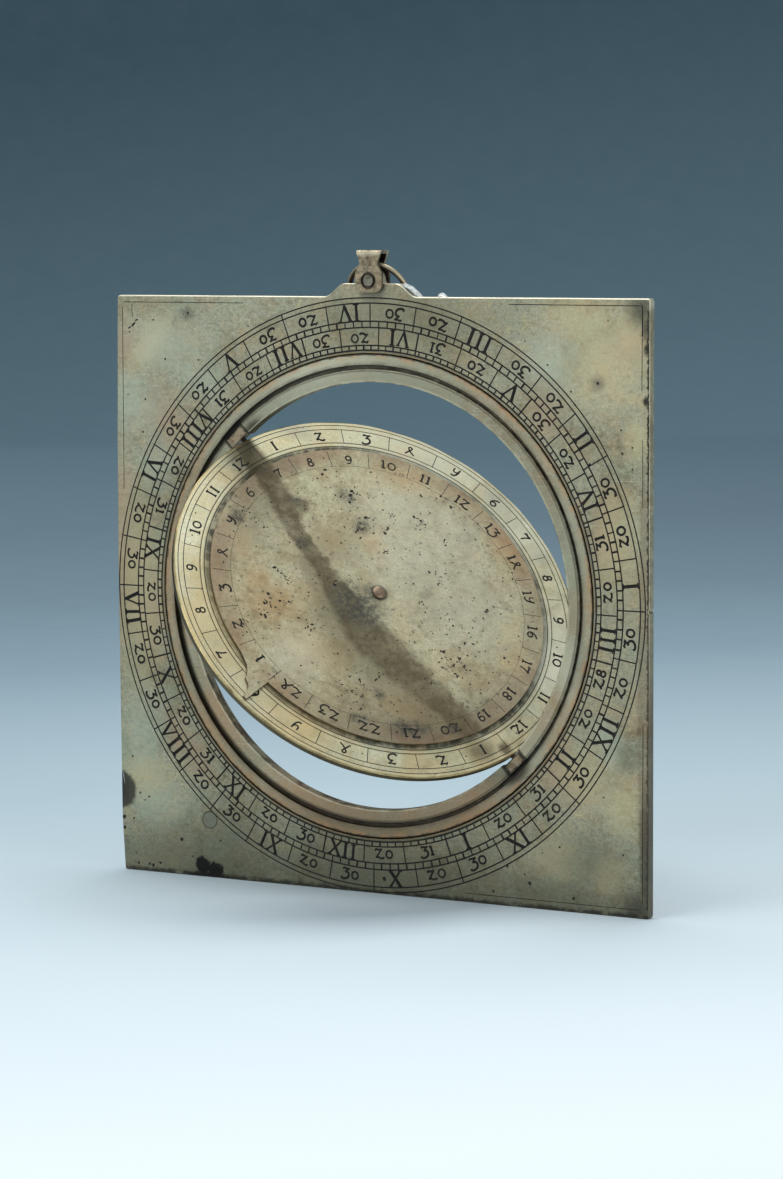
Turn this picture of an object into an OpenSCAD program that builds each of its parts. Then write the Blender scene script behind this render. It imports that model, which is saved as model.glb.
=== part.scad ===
// Square-framed ring dial. A carrier ring turns in the round opening of the
// plate, an hour plate swings on two pivots across the carrier ring, and a
// twenty-four hour disc turns on the middle of the hour plate.
// The front face looks along -Y, +Z is up, and the origin is the middle of the
// bottom edge of the square plate.

/* [Square plate] */
// Width of the plate
plate_w = 120; // [110:1:150]
// Height of the plate
plate_h = 120; // [110:1:150]
// Thickness of the plate
plate_t = 2.1; // [1.6:0.1:4]
// Radius of the plate's four corners
corner_r = 0.6; // [0.2:0.1:3]
// How far the hand-filed left edge bulges in its middle
left_bow = 0.7; // [0:0.1:2]
// How far the dial's centre lies left of the plate's middle
dial_shift = 0.64; // [0:0.02:1]
// Width of the sign band, measured from the inner to the outer line
sign_band_w = 3.6; // [2.5:0.1:5]
// Width of the month band
month_band_w = 3.5; // [2.5:0.1:5]
// Width of the narrow bands that hold the degrees and the days
tick_band_w = 1.1; // [0.8:0.1:2]
// Width of an engraved line
line_w = 0.2; // [0.1:0.02:0.4]
// Depth of an engraved line
line_d = 0.08; // [0.04:0.01:0.2]

/* [Flush plug] */
// Radius of the plug that fills an old hole
plug_r = 1.6; // [0.8:0.1:3]
// Distance of the plug left of the dial's centre
plug_left = 38.5; // [37:0.5:45]
// Distance of the plug below the dial's centre
plug_below = 48; // [46:0.5:52]

/* [Suspension ear] */
// Width of the ear at the plate's top edge
ear_base_w = 20.8; // [16:0.2:28]
// Width of the ear's level top
ear_top_w = 11.6; // [9:0.2:15]
// Height of the ear's level top above the plate
ear_h = 2.6; // [1.6:0.1:3.4]
// Radius of the round eye that the shackle grips
eye_r = 2.55; // [2:0.05:3]
// Height of the shackle rivet above the plate's top edge
rivet_rise = 3.2; // [2.8:0.1:4.5]

/* [Shackle] */
// Thickness of the strap that is folded into the shackle
strap_t = 0.7; // [0.5:0.05:1]
// Free space between a cheek and the ear
cheek_gap = 0.12; // [0.08:0.02:0.4]
// Width of the round lobe at the foot of a cheek
lobe_w = 6; // [5:0.1:8]
// Width of the waist of a cheek
waist_w = 4.4; // [3.6:0.1:5]
// Width of the flared top of the shackle
flare_w = 5.3; // [4.6:0.1:7]
// Height of the lobe's foot below the rivet
lobe_drop = 2.35; // [2.2:0.05:3]
// Height of the lobe's shoulder above the rivet
shoulder_rise = 1.5; // [1:0.1:2]
// Height of the waist above the rivet
waist_rise = 3.5; // [3:0.1:4]
// Height of the folded top above the rivet
fold_rise = 6; // [5.6:0.1:8]
// Radius of the shackle rivet
rivet_r = 1.15; // [0.8:0.05:1.3]
// Width of the groove turned round the rivet's front end
rivet_groove_w = 0.45; // [0.2:0.05:0.6]
// Depth of that groove
rivet_groove_d = 0.35; // [0.1:0.05:0.5]
// Radius of the peened rivet head at the back
peen_r = 1.75; // [1.5:0.05:2]
// Height of the peened head
peen_h = 0.5; // [0.2:0.05:1]

/* [Suspension ring] */
// Mean radius of the ring
ring_r = 6.5; // [6.2:0.1:10]
// Thickness of the ring's wire
wire_d = 1.1; // [0.8:0.05:1.2]
// Angle at which the ring leans back from hanging straight
ring_lean = 26; // [25:1:40]

/* [Carrier ring] */
// Free space between the carrier ring and the plate's opening
carrier_gap = 0.3; // [0.15:0.05:0.5]
// Inner radius of the carrier ring
carrier_in_r = 43.05; // [40:0.05:46]
// Width of the carrier ring's front, from its inside to the plate's opening
carrier_w = 5.5; // [5:0.05:7]
// Width of the flush band next to the plate
flush_band_w = 2.05; // [1.6:0.05:2.2]
// Width of the groove inside the flush band
groove_w = 0.7; // [0.4:0.05:1]
// Depth of the groove below the front face
groove_d = 0.95; // [0.6:0.05:1.2]
// Depth of the inner band at the groove
band_d_out = 0.35; // [0.1:0.05:0.5]
// Depth of the inner band at the ring's inside
band_d_in = 0.55; // [0.2:0.05:0.8]
// Width of the rounded shoulder between groove and inner band
band_shoulder = 0.45; // [0.2:0.05:0.8]
// How far the rear flange reaches behind the plate
flange_reach = 1.75; // [1:0.05:2.5]
// Thickness of the rear flange
flange_t = 0.7; // [0.5:0.05:1.5]
// Angle of the pivots, counter-clockwise from the right
carrier_angle = 135; // [0:1:360]

/* [Retaining ring] */
// Free space round the flange of the carrier ring
flange_gap = 0.1; // [0.05:0.05:0.3]
// Free space outside the edge of that flange
flange_edge_gap = 0.3; // [0.15:0.05:0.5]
// How far the retaining ring's lip covers the flange
lip_cover = 1.3; // [0.8:0.1:1.6]
// Thickness of the lip
lip_t = 0.7; // [0.5:0.05:1.5]
// Width of the foot that is soldered to the plate's back
foot_w = 3; // [2:0.1:5]

/* [Pivots] */
// Depth of the pivot axis behind the plate's front face
axis_depth = 2.1; // [1.8:0.05:2.2]
// Length of a pivot block along the carrier ring
block_w = 4.7; // [3.5:0.1:6]
// Thickness of a pivot block towards the rim
block_t = 2; // [1.6:0.1:2.1]
// How far a block's face stands back from the carrier ring's inside
block_back = 0.4; // [0.1:0.05:0.5]
// Depth of a block's face behind the plate's front face
block_inset = 0.5; // [0.2:0.05:0.7]
// Radius of the round end of a pivot block
block_end_r = 0.7; // [0.2:0.05:1]
// Radius of a pivot pin
pin_r = 0.5; // [0.35:0.05:0.55]
// Free space round a pivot pin in its block
pin_gap = 0.05; // [0.03:0.01:0.1]
// How far a pivot pin is driven into the hour plate
pin_seat = 2.5; // [1.5:0.1:5]

/* [Hour plate] */
// Free space between the hour plate and the carrier ring
hour_gap = 0.25; // [0.2:0.05:0.5]
// Thickness of the hour plate
hour_t = 1.6; // [1.5:0.05:1.8]
// Width of the bevel along its rim
hour_bevel = 0.25; // [0.1:0.05:0.5]
// Tilt of the hour plate out of the plane of the square plate
hour_tilt = 63.1; // [0:0.1:90]

/* [Hour disc] */
// Radius of the twenty-four hour disc
disc_r = 35.4; // [30:0.1:36.5]
// Thickness of the disc
disc_t = 0.45; // [0.3:0.05:0.8]
// Free space under the disc
disc_gap = 0.05; // [0.03:0.01:0.2]
// Distance of the pointer's tip from the centre
pointer_r = 41.9; // [38:0.1:42.2]
// Angle of the pointer's straight edge, counter-clockwise from the right
pointer_angle = 232.9; // [0:0.1:360]
// Width of the pointer's blunt tip
pointer_tip_w = 0.85; // [0.4:0.05:1.5]

/* [Centre rivet] */
// Radius of the rivet's shank
shank_r = 0.9; // [0.6:0.05:1.1]
// Free space round the shank in the disc
shank_gap = 0.05; // [0.03:0.01:0.1]
// Radius of the rivet's head
head_r = 1.4; // [1.2:0.05:2]
// Height of the head above the disc
head_h = 0.6; // [0.3:0.05:1]
// Radius of the washer behind the hour plate
washer_r = 2.6; // [2:0.1:4]
// Thickness of the washer
washer_t = 0.5; // [0.3:0.05:0.8]
// Height of the rivet's tail behind the washer
tail_h = 0.35; // [0.2:0.05:0.5]

/* [Hidden] */
$fn = 96;

// Extra length of every cut past the faces that it passes through
cut = 1;
// Free space round the shackle rivet in the ear
ear_hole_gap = 0.05;

carrier_out_r = carrier_in_r + carrier_w;
opening_r = carrier_out_r + carrier_gap;
flange_r = carrier_out_r + flange_reach;
flange_front = plate_t + flange_gap;
carrier_t = flange_front + flange_t;
band_out_r = carrier_out_r - flush_band_w;
groove_in_r = band_out_r - groove_w;
lip_front = carrier_t + flange_gap;
foot_in_r = flange_r + flange_edge_gap;
hour_r = carrier_in_r - hour_gap;
hour_front = hour_t / 2;
disc_back = hour_front + disc_gap;
disc_front = disc_back + disc_t;
block_r = carrier_in_r + block_back;
rivet_z = plate_h + rivet_rise;
cheek_in = plate_t / 2 + cheek_gap;
cheek_out = cheek_in + strap_t;
fold_z = rivet_z + fold_rise;
wire_z = rivet_z + eye_r + wire_d / 2 + cheek_gap;

// Scale lines of the plate, from the opening outwards
day_in_r = opening_r + 0.5;
day_out_r = day_in_r + tick_band_w;
month_out_r = day_out_r + month_band_w;
sign_in_r = month_out_r + tick_band_w;
sign_out_r = sign_in_r + sign_band_w;
rim_line_r = sign_out_r + tick_band_w;

// Scale lines of the hour plate, from the disc outwards
hour_line_r = [for (inset = [6.3, 5.4, 2.0, 0.9]) hour_r - inset];

// Lengths of the months, March first, and the day of March on which the year's circle starts
month_days = [31, 30, 31, 30, 31, 31, 30, 31, 30, 31, 31, 28];
first_day = 10;

// Days from the start of March to the start of a month
function days_before(month) = month == 0 ? 0 : month_days[month - 1] + days_before(month - 1);

// Where the Sun stands in the year's circle at the end of a day: a mean step a day, and the
// unevenness of its year, which is slowest in early July
function sun_angle(day) =
    let (mean = (day - first_day) * 360 / 365.25 - 3.09) mean + 1.92 * sin(mean - 279);

// Points of an arc about a centre, both ends included
function arc(x, y, r, from, to, steps = 6) =
    [for (i = [0:steps]) let (a = from + (to - from) * i / steps) [x + r * cos(a), y + r * sin(a)]];

// Bulge of the left edge at a share of its height
function bow(share) = left_bow * (1 - pow(2 * share - 1, 2));

// Corners of the plate, counter-clockwise from the bottom left, with the bowed edge last
function plate_outline() = concat(
    arc(corner_r - plate_w / 2, corner_r, corner_r, 180, 270),
    arc(plate_w / 2 - corner_r, corner_r, corner_r, 270, 360),
    arc(plate_w / 2 - corner_r, plate_h - corner_r, corner_r, 0, 90),
    arc(corner_r - plate_w / 2, plate_h - corner_r, corner_r, 90, 180),
    [for (i = [11:-1:1]) [-plate_w / 2 - bow(i / 12), plate_h * i / 12]]);

// One flank of the ear is an S curve from its level top down to the plate's edge
function ear_flank(side) =
    [for (i = [0:10]) let (t = side > 0 ? i / 10 : 1 - i / 10)
        [side * (ear_top_w + t * (ear_base_w - ear_top_w)) / 2, ear_h * (1 + cos(180 * t)) / 2]];

// Moves a shape drawn on the dial, seen from the front, to its place; its z = 0 is the front face
module on_dial() {
    translate([-dial_shift, -plate_t / 2, plate_h / 2]) rotate([90, 0, 0]) children();
}

// The carrier ring's own frame: x runs along the pivot axis
module on_carrier() {
    on_dial() rotate([0, 0, carrier_angle]) children();
}

// The hour plate's own frame: z = 0 is the middle of its thickness
module on_hours() {
    on_carrier() translate([0, 0, -axis_depth]) rotate([hour_tilt, 0, 0]) children();
}

// An engraved circle on a face at z = 0
module engraved_circle(r) {
    rotate_extrude($fn = 180)
        polygon([[r - line_w, line_d], [r + line_w, line_d], [r, -line_d]]);
}

// An engraved line along a radius
module engraved_radius(angle, from, to) {
    rotate([0, 0, angle]) translate([from, 0, 0]) rotate([90, 0, 90]) linear_extrude(to - from)
        polygon([[-line_w, line_d], [line_w, line_d], [0, -line_d]]);
}

// Upright shapes of the suspension, drawn in x and z and centred on the ear
module on_ear(front, back) {
    translate([-dial_shift, back, 0]) rotate([90, 0, 0]) linear_extrude(back - front) children();
}

// The ear stands on the plate's top edge, with the shackle's eye rising from its middle
module ear() {
    on_ear(-plate_t / 2, plate_t / 2) translate([0, plate_h])
        polygon(concat([[-ear_base_w / 2, -cut]], ear_flank(-1), ear_flank(1), [[ear_base_w / 2, -cut]]));
    on_ear(-plate_t / 2, plate_t / 2) translate([-eye_r, plate_h]) square([2 * eye_r, rivet_rise]);
    on_ear(-plate_t / 2, plate_t / 2) translate([0, rivet_z]) circle(eye_r);
}

module base_plate() {
    color([0.60, 0.57, 0.47]) difference() {
        union() {
            translate([0, plate_t / 2, 0]) rotate([90, 0, 0]) linear_extrude(plate_t) polygon(plate_outline());
            ear();
        }
        on_dial() translate([0, 0, -plate_t - cut]) cylinder(r = opening_r, h = plate_t + 2 * cut, $fn = 180);
        on_dial() translate([-plug_left, -plug_below, -plate_t - cut])
            cylinder(r = plug_r, h = plate_t + 2 * cut);
        on_ear(-plate_t, plate_t) translate([0, rivet_z]) circle(rivet_r + ear_hole_gap);
        on_dial() plate_scales();
    }
}

// Circles of both scales, ten-degree cells of the signs, and the months' cells, which end on
// the tenth, the twentieth and the last day
module plate_scales() {
    for (r = [day_in_r, day_out_r, month_out_r, sign_in_r, sign_out_r, rim_line_r]) engraved_circle(r);
    for (angle = [0:10:350]) engraved_radius(angle, sign_in_r + line_w, sign_out_r - line_w);
    for (month = [0:11], day = [10, 20, month_days[month]])
        engraved_radius(sun_angle(days_before(month) + day), day_out_r + line_w, month_out_r - line_w);
}

// Flush with the front and left a little proud at the back
module plate_plug() {
    color([0.50, 0.50, 0.46])
        on_dial() translate([-plug_left, -plug_below, -plate_t - plug_r / 8])
            cylinder(r = plug_r, h = plate_t + plug_r / 8);
}

// A foot on the plate's back and a lip over the carrier's flange
module retaining_ring() {
    color([0.55, 0.50, 0.40]) on_dial() rotate_extrude()
        polygon([[foot_in_r, -plate_t], [foot_in_r, -lip_front], [flange_r - lip_cover, -lip_front],
                 [flange_r - lip_cover, -lip_front - lip_t], [foot_in_r + foot_w, -lip_front - lip_t],
                 [foot_in_r + foot_w, -plate_t]]);
}

// Half of the carrier's section: inner wall, inner band, groove, flush band and rear flange
function carrier_section() = concat(
    [[carrier_in_r, -carrier_t], [carrier_in_r, -band_d_in]],
    arc(groove_in_r - band_shoulder, -band_d_out - band_shoulder, band_shoulder, 90, 0),
    [[groove_in_r, -groove_d], [band_out_r, -groove_d], [band_out_r, 0], [carrier_out_r, 0],
     [carrier_out_r, -flange_front], [flange_r, -flange_front], [flange_r, -carrier_t]]);

// Outline of a pivot block seen from the front, with one round end
module block_2d() {
    difference() {
        translate([block_r, -block_w / 2]) square([block_t, block_w]);
        translate([block_r + block_t - block_end_r, -block_w / 2]) square(block_end_r);
    }
    translate([block_r + block_t - block_end_r, block_end_r - block_w / 2]) circle(block_end_r);
}

// A pocket is open to the inside and has the block's own outline
module block_pocket() {
    translate([0, 0, -carrier_t - cut]) linear_extrude(carrier_t + 2 * cut) {
        block_2d();
        translate([carrier_in_r - cut, -block_w / 2]) square([block_r - carrier_in_r + 1.5 * cut, block_w]);
    }
}

module carrier_ring() {
    color([0.58, 0.54, 0.43]) on_carrier() difference() {
        rotate_extrude() polygon(carrier_section());
        for (turn = [0, 180]) rotate([0, 0, turn]) block_pocket();
    }
}

// A block fills its pocket and is bored for the pivot pin
module pivot_block(turn) {
    color([0.52, 0.44, 0.34]) on_carrier() rotate([0, 0, turn]) difference() {
        translate([0, 0, -carrier_t]) linear_extrude(carrier_t - block_inset) block_2d();
        translate([block_r - cut, 0, -axis_depth]) rotate([0, 90, 0])
            cylinder(r = pin_r + pin_gap, h = block_t + 2 * cut);
    }
}

module upper_pivot_block() {
    pivot_block(0);
}

module lower_pivot_block() {
    pivot_block(180);
}

// A pin is driven into the hour plate's rim and turns in its block
module pivot_pin(turn) {
    color([0.62, 0.52, 0.36]) on_hours() rotate([0, 0, turn]) translate([hour_r - pin_seat, 0, 0])
        rotate([0, 90, 0]) cylinder(r = pin_r, h = pin_seat + block_r - hour_r + block_t - 2 * pin_gap);
}

module upper_pivot_pin() {
    pivot_pin(0);
}

module lower_pivot_pin() {
    pivot_pin(180);
}

module hour_plate() {
    color([0.74, 0.67, 0.49]) on_hours() difference() {
        rotate_extrude()
            polygon([[shank_r, -hour_front], [hour_r - hour_bevel, -hour_front],
                     [hour_r, hour_bevel - hour_front], [hour_r, hour_front - hour_bevel],
                     [hour_r - hour_bevel, hour_front], [shank_r, hour_front]]);
        for (turn = [0, 180]) rotate([0, 0, turn]) translate([hour_r - pin_seat, 0, 0])
            rotate([0, 90, 0]) cylinder(r = pin_r, h = pin_seat + cut);
        translate([0, 0, hour_front]) {
            for (r = hour_line_r) engraved_circle(r);
            for (hour = [0:23])
                engraved_radius(15 * hour, hour_line_r[1] + line_w, hour_line_r[2] - line_w);
        }
    }
}

// The pointer's straight edge is radial; its other side sweeps down to the disc in two hollows
// that meet in a cusp. Each point is an angle past the straight edge and a share of the reach.
function pointer_side() = [[1.7, 0.80], [2.2, 0.66], [3.1, 0.56], [4.8, 0.50],
                           [5.4, 0.41], [6.6, 0.27], [8.4, 0.13], [11, 0.05], [15, 0]];

module pointer_2d() {
    reach = pointer_r - disc_r;
    tip_angle = pointer_tip_w / pointer_r * 180 / PI;
    polygon(concat(
        [[0, 0], [pointer_r, 0]],
        [[pointer_r * cos(tip_angle), -pointer_r * sin(tip_angle)]],
        [for (p = pointer_side()) let (r = disc_r + reach * p[1]) [r * cos(p[0]), -r * sin(p[0])]]));
}

module hour_disc() {
    color([0.60, 0.53, 0.42]) on_hours() translate([0, 0, disc_back]) difference() {
        union() {
            cylinder(r = disc_r, h = disc_t, $fn = 180);
            rotate([0, 0, pointer_angle - carrier_angle]) linear_extrude(disc_t) pointer_2d();
        }
        translate([0, 0, -cut]) cylinder(r = shank_r + shank_gap, h = disc_t + 2 * cut);
    }
}

// Head on the disc, shank through the hour plate and a tail spread over the washer
module centre_rivet() {
    back = -hour_front - washer_t;
    color([0.62, 0.42, 0.33]) on_hours() rotate_extrude()
        polygon([[0, back - tail_h], [shank_r, back - tail_h], [shank_r + tail_h, back],
                 [shank_r, back], [shank_r, disc_front + disc_gap], [head_r, disc_front + disc_gap],
                 [head_r, disc_front + 0.55 * head_h], [0.62 * head_r, disc_front + 0.92 * head_h],
                 [0, disc_front + head_h]]);
}

module centre_washer() {
    color([0.62, 0.55, 0.40]) on_hours() translate([0, 0, -hour_front - washer_t]) difference() {
        cylinder(r = washer_r, h = washer_t);
        translate([0, 0, -cut]) cylinder(r = shank_r, h = washer_t + 2 * cut);
    }
}

// One cheek seen from the front: round lobe, waist and flared top
module cheek_2d() {
    lobe_corner = lobe_w / 4;
    translate([-lobe_w / 2, rivet_z - lobe_drop + lobe_corner])
        square([lobe_w, lobe_drop - lobe_corner + shoulder_rise]);
    translate([lobe_corner - lobe_w / 2, rivet_z - lobe_drop])
        square([lobe_w - 2 * lobe_corner, lobe_corner + cut]);
    for (side = [-1, 1])
        translate([side * (lobe_w / 2 - lobe_corner), rivet_z - lobe_drop + lobe_corner]) circle(lobe_corner);
    polygon([[-lobe_w / 2, rivet_z + shoulder_rise], [lobe_w / 2, rivet_z + shoulder_rise],
             [waist_w / 2, rivet_z + waist_rise], [flare_w / 2, fold_z],
             [-flare_w / 2, fold_z], [-waist_w / 2, rivet_z + waist_rise]]);
}

// The folded strap seen from the side: a tall staple with round corners
module fold_2d() {
    foot = rivet_z - lobe_drop - cut;
    difference() {
        union() {
            translate([-cheek_out, foot]) square([2 * cheek_out, fold_z - strap_t - foot]);
            translate([strap_t - cheek_out, foot]) square([2 * (cheek_out - strap_t), fold_z - foot]);
            for (side = [-1, 1]) translate([side * (cheek_out - strap_t), fold_z - strap_t]) circle(strap_t);
        }
        translate([-cheek_in, foot - cut]) square([2 * cheek_in, fold_z - strap_t - foot + cut]);
    }
}

module shackle() {
    color([0.66, 0.60, 0.48]) difference() {
        intersection() {
            on_ear(-cheek_out - cut, cheek_out + cut) cheek_2d();
            translate([-dial_shift - lobe_w, 0, 0]) rotate([90, 0, 90])
                linear_extrude(2 * lobe_w) fold_2d();
        }
        on_ear(-cheek_out - cut, cheek_out + cut) translate([0, rivet_z]) circle(rivet_r);
        on_ear(-cheek_out - cut, rivet_groove_d - cheek_out)
            translate([0, rivet_z]) circle(rivet_r + rivet_groove_w);
    }
}

// Flush at the front, peened over the rear cheek
module shackle_rivet() {
    color([0.58, 0.57, 0.52]) {
        on_ear(-cheek_out - peen_h / 10, cheek_out) translate([0, rivet_z]) circle(rivet_r);
        translate([-dial_shift, cheek_out, rivet_z]) rotate([-90, 0, 0]) rotate_extrude()
            polygon([[0, 0], [peen_r, 0], [peen_r, 0.3 * peen_h], [0.7 * peen_r, 0.85 * peen_h], [0, peen_h]]);
    }
}

// The wire lies on the eye of the ear, and the ring leans against the back of the plate
module suspension_ring() {
    color([0.50, 0.46, 0.38]) translate([-dial_shift, 0, wire_z]) rotate([ring_lean, 0, 0])
        translate([0, 0, -ring_r]) rotate([90, 0, 0]) rotate_extrude()
            translate([ring_r, 0]) circle(wire_d / 2);
}

base_plate();
plate_plug();
retaining_ring();
carrier_ring();
upper_pivot_block();
lower_pivot_block();
upper_pivot_pin();
lower_pivot_pin();
hour_plate();
hour_disc();
centre_rivet();
centre_washer();
shackle();
shackle_rivet();
suspension_ring();
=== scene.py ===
"""Square plate ring dial: engraved faces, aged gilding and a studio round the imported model.

Shapes are drawn in millimetres on the dial, seen from the front: x to the right, y up, z towards
the viewer. Matrices then carry them to the model's own frame in metres.
"""

import math
import random

import bmesh
import bpy
import numpy as np
from mathutils import Matrix, Vector, noise
from mathutils.geometry import delaunay_2d_cdt


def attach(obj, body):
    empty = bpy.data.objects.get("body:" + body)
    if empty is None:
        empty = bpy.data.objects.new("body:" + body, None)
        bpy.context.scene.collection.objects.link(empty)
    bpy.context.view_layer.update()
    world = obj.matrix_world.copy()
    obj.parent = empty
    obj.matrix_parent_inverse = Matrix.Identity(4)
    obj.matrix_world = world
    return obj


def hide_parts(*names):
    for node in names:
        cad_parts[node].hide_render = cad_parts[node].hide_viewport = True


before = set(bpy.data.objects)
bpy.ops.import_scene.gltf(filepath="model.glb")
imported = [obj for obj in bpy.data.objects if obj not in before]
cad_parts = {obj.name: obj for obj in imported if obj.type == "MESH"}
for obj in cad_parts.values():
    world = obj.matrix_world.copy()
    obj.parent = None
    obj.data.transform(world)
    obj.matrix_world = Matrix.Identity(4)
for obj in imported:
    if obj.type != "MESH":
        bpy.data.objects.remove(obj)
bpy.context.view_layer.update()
MM = 0.001
rng = random.Random(7)

# sizes, as in the part's source
PLATE_W, PLATE_H, PLATE_T = 120.0, 120.0, 2.1
LEFT_BOW, DIAL_SHIFT, CORNER_R = 0.7, 0.64, 0.6
LEFT, RIGHT = -PLATE_W / 2 + DIAL_SHIFT, PLATE_W / 2 + DIAL_SHIFT
EAR_BASE_W, EAR_TOP_W, EAR_H, EYE_R, RIVET_RISE = 20.8, 11.6, 2.6, 2.55, 3.2
OPENING_R, CARRIER_IN_R = 48.85, 43.05
CARRIER_ANGLE, AXIS_DEPTH, TILT = 135.0, 2.1, 63.1
HOUR_R, HOUR_T, HOUR_BEVEL = 42.8, 1.6, 0.25
DISC_R, DISC_T, DISC_Z = 35.4, 0.45, 0.85
POINTER_R, POINTER_ANGLE = 41.9, 232.9
SHANK_R = 0.9
PLUG, PLUG_R = (-38.5, -48.0), 1.6
# radii of the engraved circles, and half the width of their lines
RIM, SIGN_OUT, SIGN_IN, MONTH_OUT, DAY_OUT, DAY_IN = 59.77, 58.72, 55.14, 53.88, 50.40, 49.43
PLATE_CIRCLES = [(RIM, 0.14), (SIGN_OUT, 0.145), (SIGN_IN, 0.155), (MONTH_OUT, 0.155), (DAY_OUT, 0.15),
                 (DAY_IN, 0.165)]
HOUR_IN, HOUR_OUT = 37.4, 40.8
HOUR_CIRCLES = [(36.5, 0.09), (HOUR_IN, 0.08), (HOUR_OUT, 0.085), (41.9, 0.085)]
DISC_LINE_R = 31.2
# kinds of lettering: radius of its foot, height, half the width of a stroke
SIGN_NAME, SIGN_COUNT = (SIGN_OUT - 0.25, 3.15, 0.25), (SIGN_OUT - 1.0, 1.95, 0.2)
MONTH_NAME = (MONTH_OUT - 0.28, 2.95, 0.235)
TWENTIETH, LAST_DAY = (MONTH_OUT - 1.1, 1.85, 0.19), (MONTH_OUT - 1.0, 1.9, 0.19)
HOUR_FIGURE, DISC_FIGURE = (38.1, 2.0, 0.172), (32.0, 2.0, 0.164)
RING_STEPS = 360

# frames
ON_DIAL = Matrix(((1, 0, 0, -DIAL_SHIFT), (0, 0, -1, -PLATE_T / 2), (0, 1, 0, PLATE_H / 2), (0, 0, 0, 1)))
ON_CARRIER = ON_DIAL @ Matrix.Rotation(math.radians(CARRIER_ANGLE), 4, "Z")
ON_HOURS = ON_CARRIER @ Matrix.Translation((0, 0, -AXIS_DEPTH)) @ Matrix.Rotation(math.radians(TILT), 4, "X")
# the hour plate's plane with its angles counted as on the dial
ON_HOUR_FACE = ON_HOURS @ Matrix.Rotation(math.radians(-CARRIER_ANGLE), 4, "Z")


def polar(r, degrees):
    a = math.radians(degrees)
    return np.array((r * math.cos(a), r * math.sin(a)))


# engraved strokes
class Stroke:
    """A line cut with a graver: its middle line, half its width and its depth."""

    SLOPE, CAP, MITRE = 0.7, 0.8, 1.8

    def __init__(self, points, half, closed=False, depth=None):
        self.points = np.asarray(points, float)
        self.half = half
        self.closed = closed
        self.depth = self.SLOPE * half if depth is None else depth

    def lines(self):
        """Polylines that bound the cut and run along its bottom, each with whether it is closed."""
        p = self.points
        if len(p) == 1:
            rim = self.pit_rim()
            return [(rim, True), (np.array([p[0], rim[0]]), False)]
        ahead = np.roll(p, -1, 0) - p
        if not self.closed:
            ahead[-1] = ahead[-2]
        ahead /= np.linalg.norm(ahead, axis=1)[:, None]
        back = np.roll(ahead, 1, 0)
        if not self.closed:
            back[0] = ahead[0]
        normal = np.stack((-(ahead + back)[:, 1], (ahead + back)[:, 0]), 1)
        normal /= np.maximum(np.linalg.norm(normal, axis=1), 1e-6)[:, None]
        straight = np.stack((-ahead[:, 1], ahead[:, 0]), 1)
        stretch = np.clip(1 / np.maximum((normal * straight).sum(1), 1e-3), 1, self.MITRE)
        off = normal * (self.half * stretch)[:, None]
        if self.closed:
            return [(p + off, True), (p - off, True), (p, True)]
        cap = self.CAP * self.half
        rim = np.vstack((p + off, p[-1] + cap * back[-1], (p - off)[::-1], p[0] - cap * ahead[0]))
        return [(rim, True), (p, False)]

    def pit_rim(self):
        seed = random.Random(int(1000 * abs(self.points[0].sum())))
        reach = [self.half * seed.uniform(0.75, 1.15) for _ in range(7)]
        return np.array([self.points[0] + polar(r, 51.4 * i) for i, r in enumerate(reach)])

    def bottom(self):
        p = self.points
        if len(p) == 1:
            return p, p
        return (p, np.roll(p, -1, 0)) if self.closed else (p[:-1], p[1:])


def pit(x, y, half, depth):
    return Stroke([(x, y)], half, depth=depth)


def circle(r, half, wobble):
    a = np.linspace(0, 2 * math.pi, RING_STEPS, endpoint=False)
    rr = r + wobble * np.sin(3 * a + r) + 0.4 * wobble * np.sin(11 * a + 2 * r)
    return Stroke(np.stack((rr * np.cos(a), rr * np.sin(a)), 1), half, True)


def radius(angle, r0, r1, half):
    return Stroke([polar(r0, angle), polar(r1, angle)], half)


# lettering: each part of a figure is its points, its weight and whether it closes
def line(weight, *points):
    return points, weight, False


def serif(x0, x1, y):
    return line(0.55, (x0, y), (x1, y))


def curve(weight, *points, steps=4):
    """A smooth line through a few points."""
    p = [np.array(q, float) for q in points]
    p = [2 * p[0] - p[1]] + p + [2 * p[-1] - p[-2]]
    out = []
    for i in range(1, len(p) - 2):
        for s in range(steps):
            t = s / steps
            out.append(0.5 * (2 * p[i] + (p[i + 1] - p[i - 1]) * t
                              + (2 * p[i - 1] - 5 * p[i] + 4 * p[i + 1] - p[i + 2]) * t * t
                              + (3 * p[i] - p[i - 1] - 3 * p[i + 1] + p[i + 2]) * t ** 3))
    return out + [p[-2]], weight, False


def loop(cx, cy, rx, ry, steps=12):
    turns = [2 * math.pi * i / steps for i in range(steps)]
    return [(cx + rx * math.cos(a), cy + ry * math.sin(a)) for a in turns], 1, True


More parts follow.
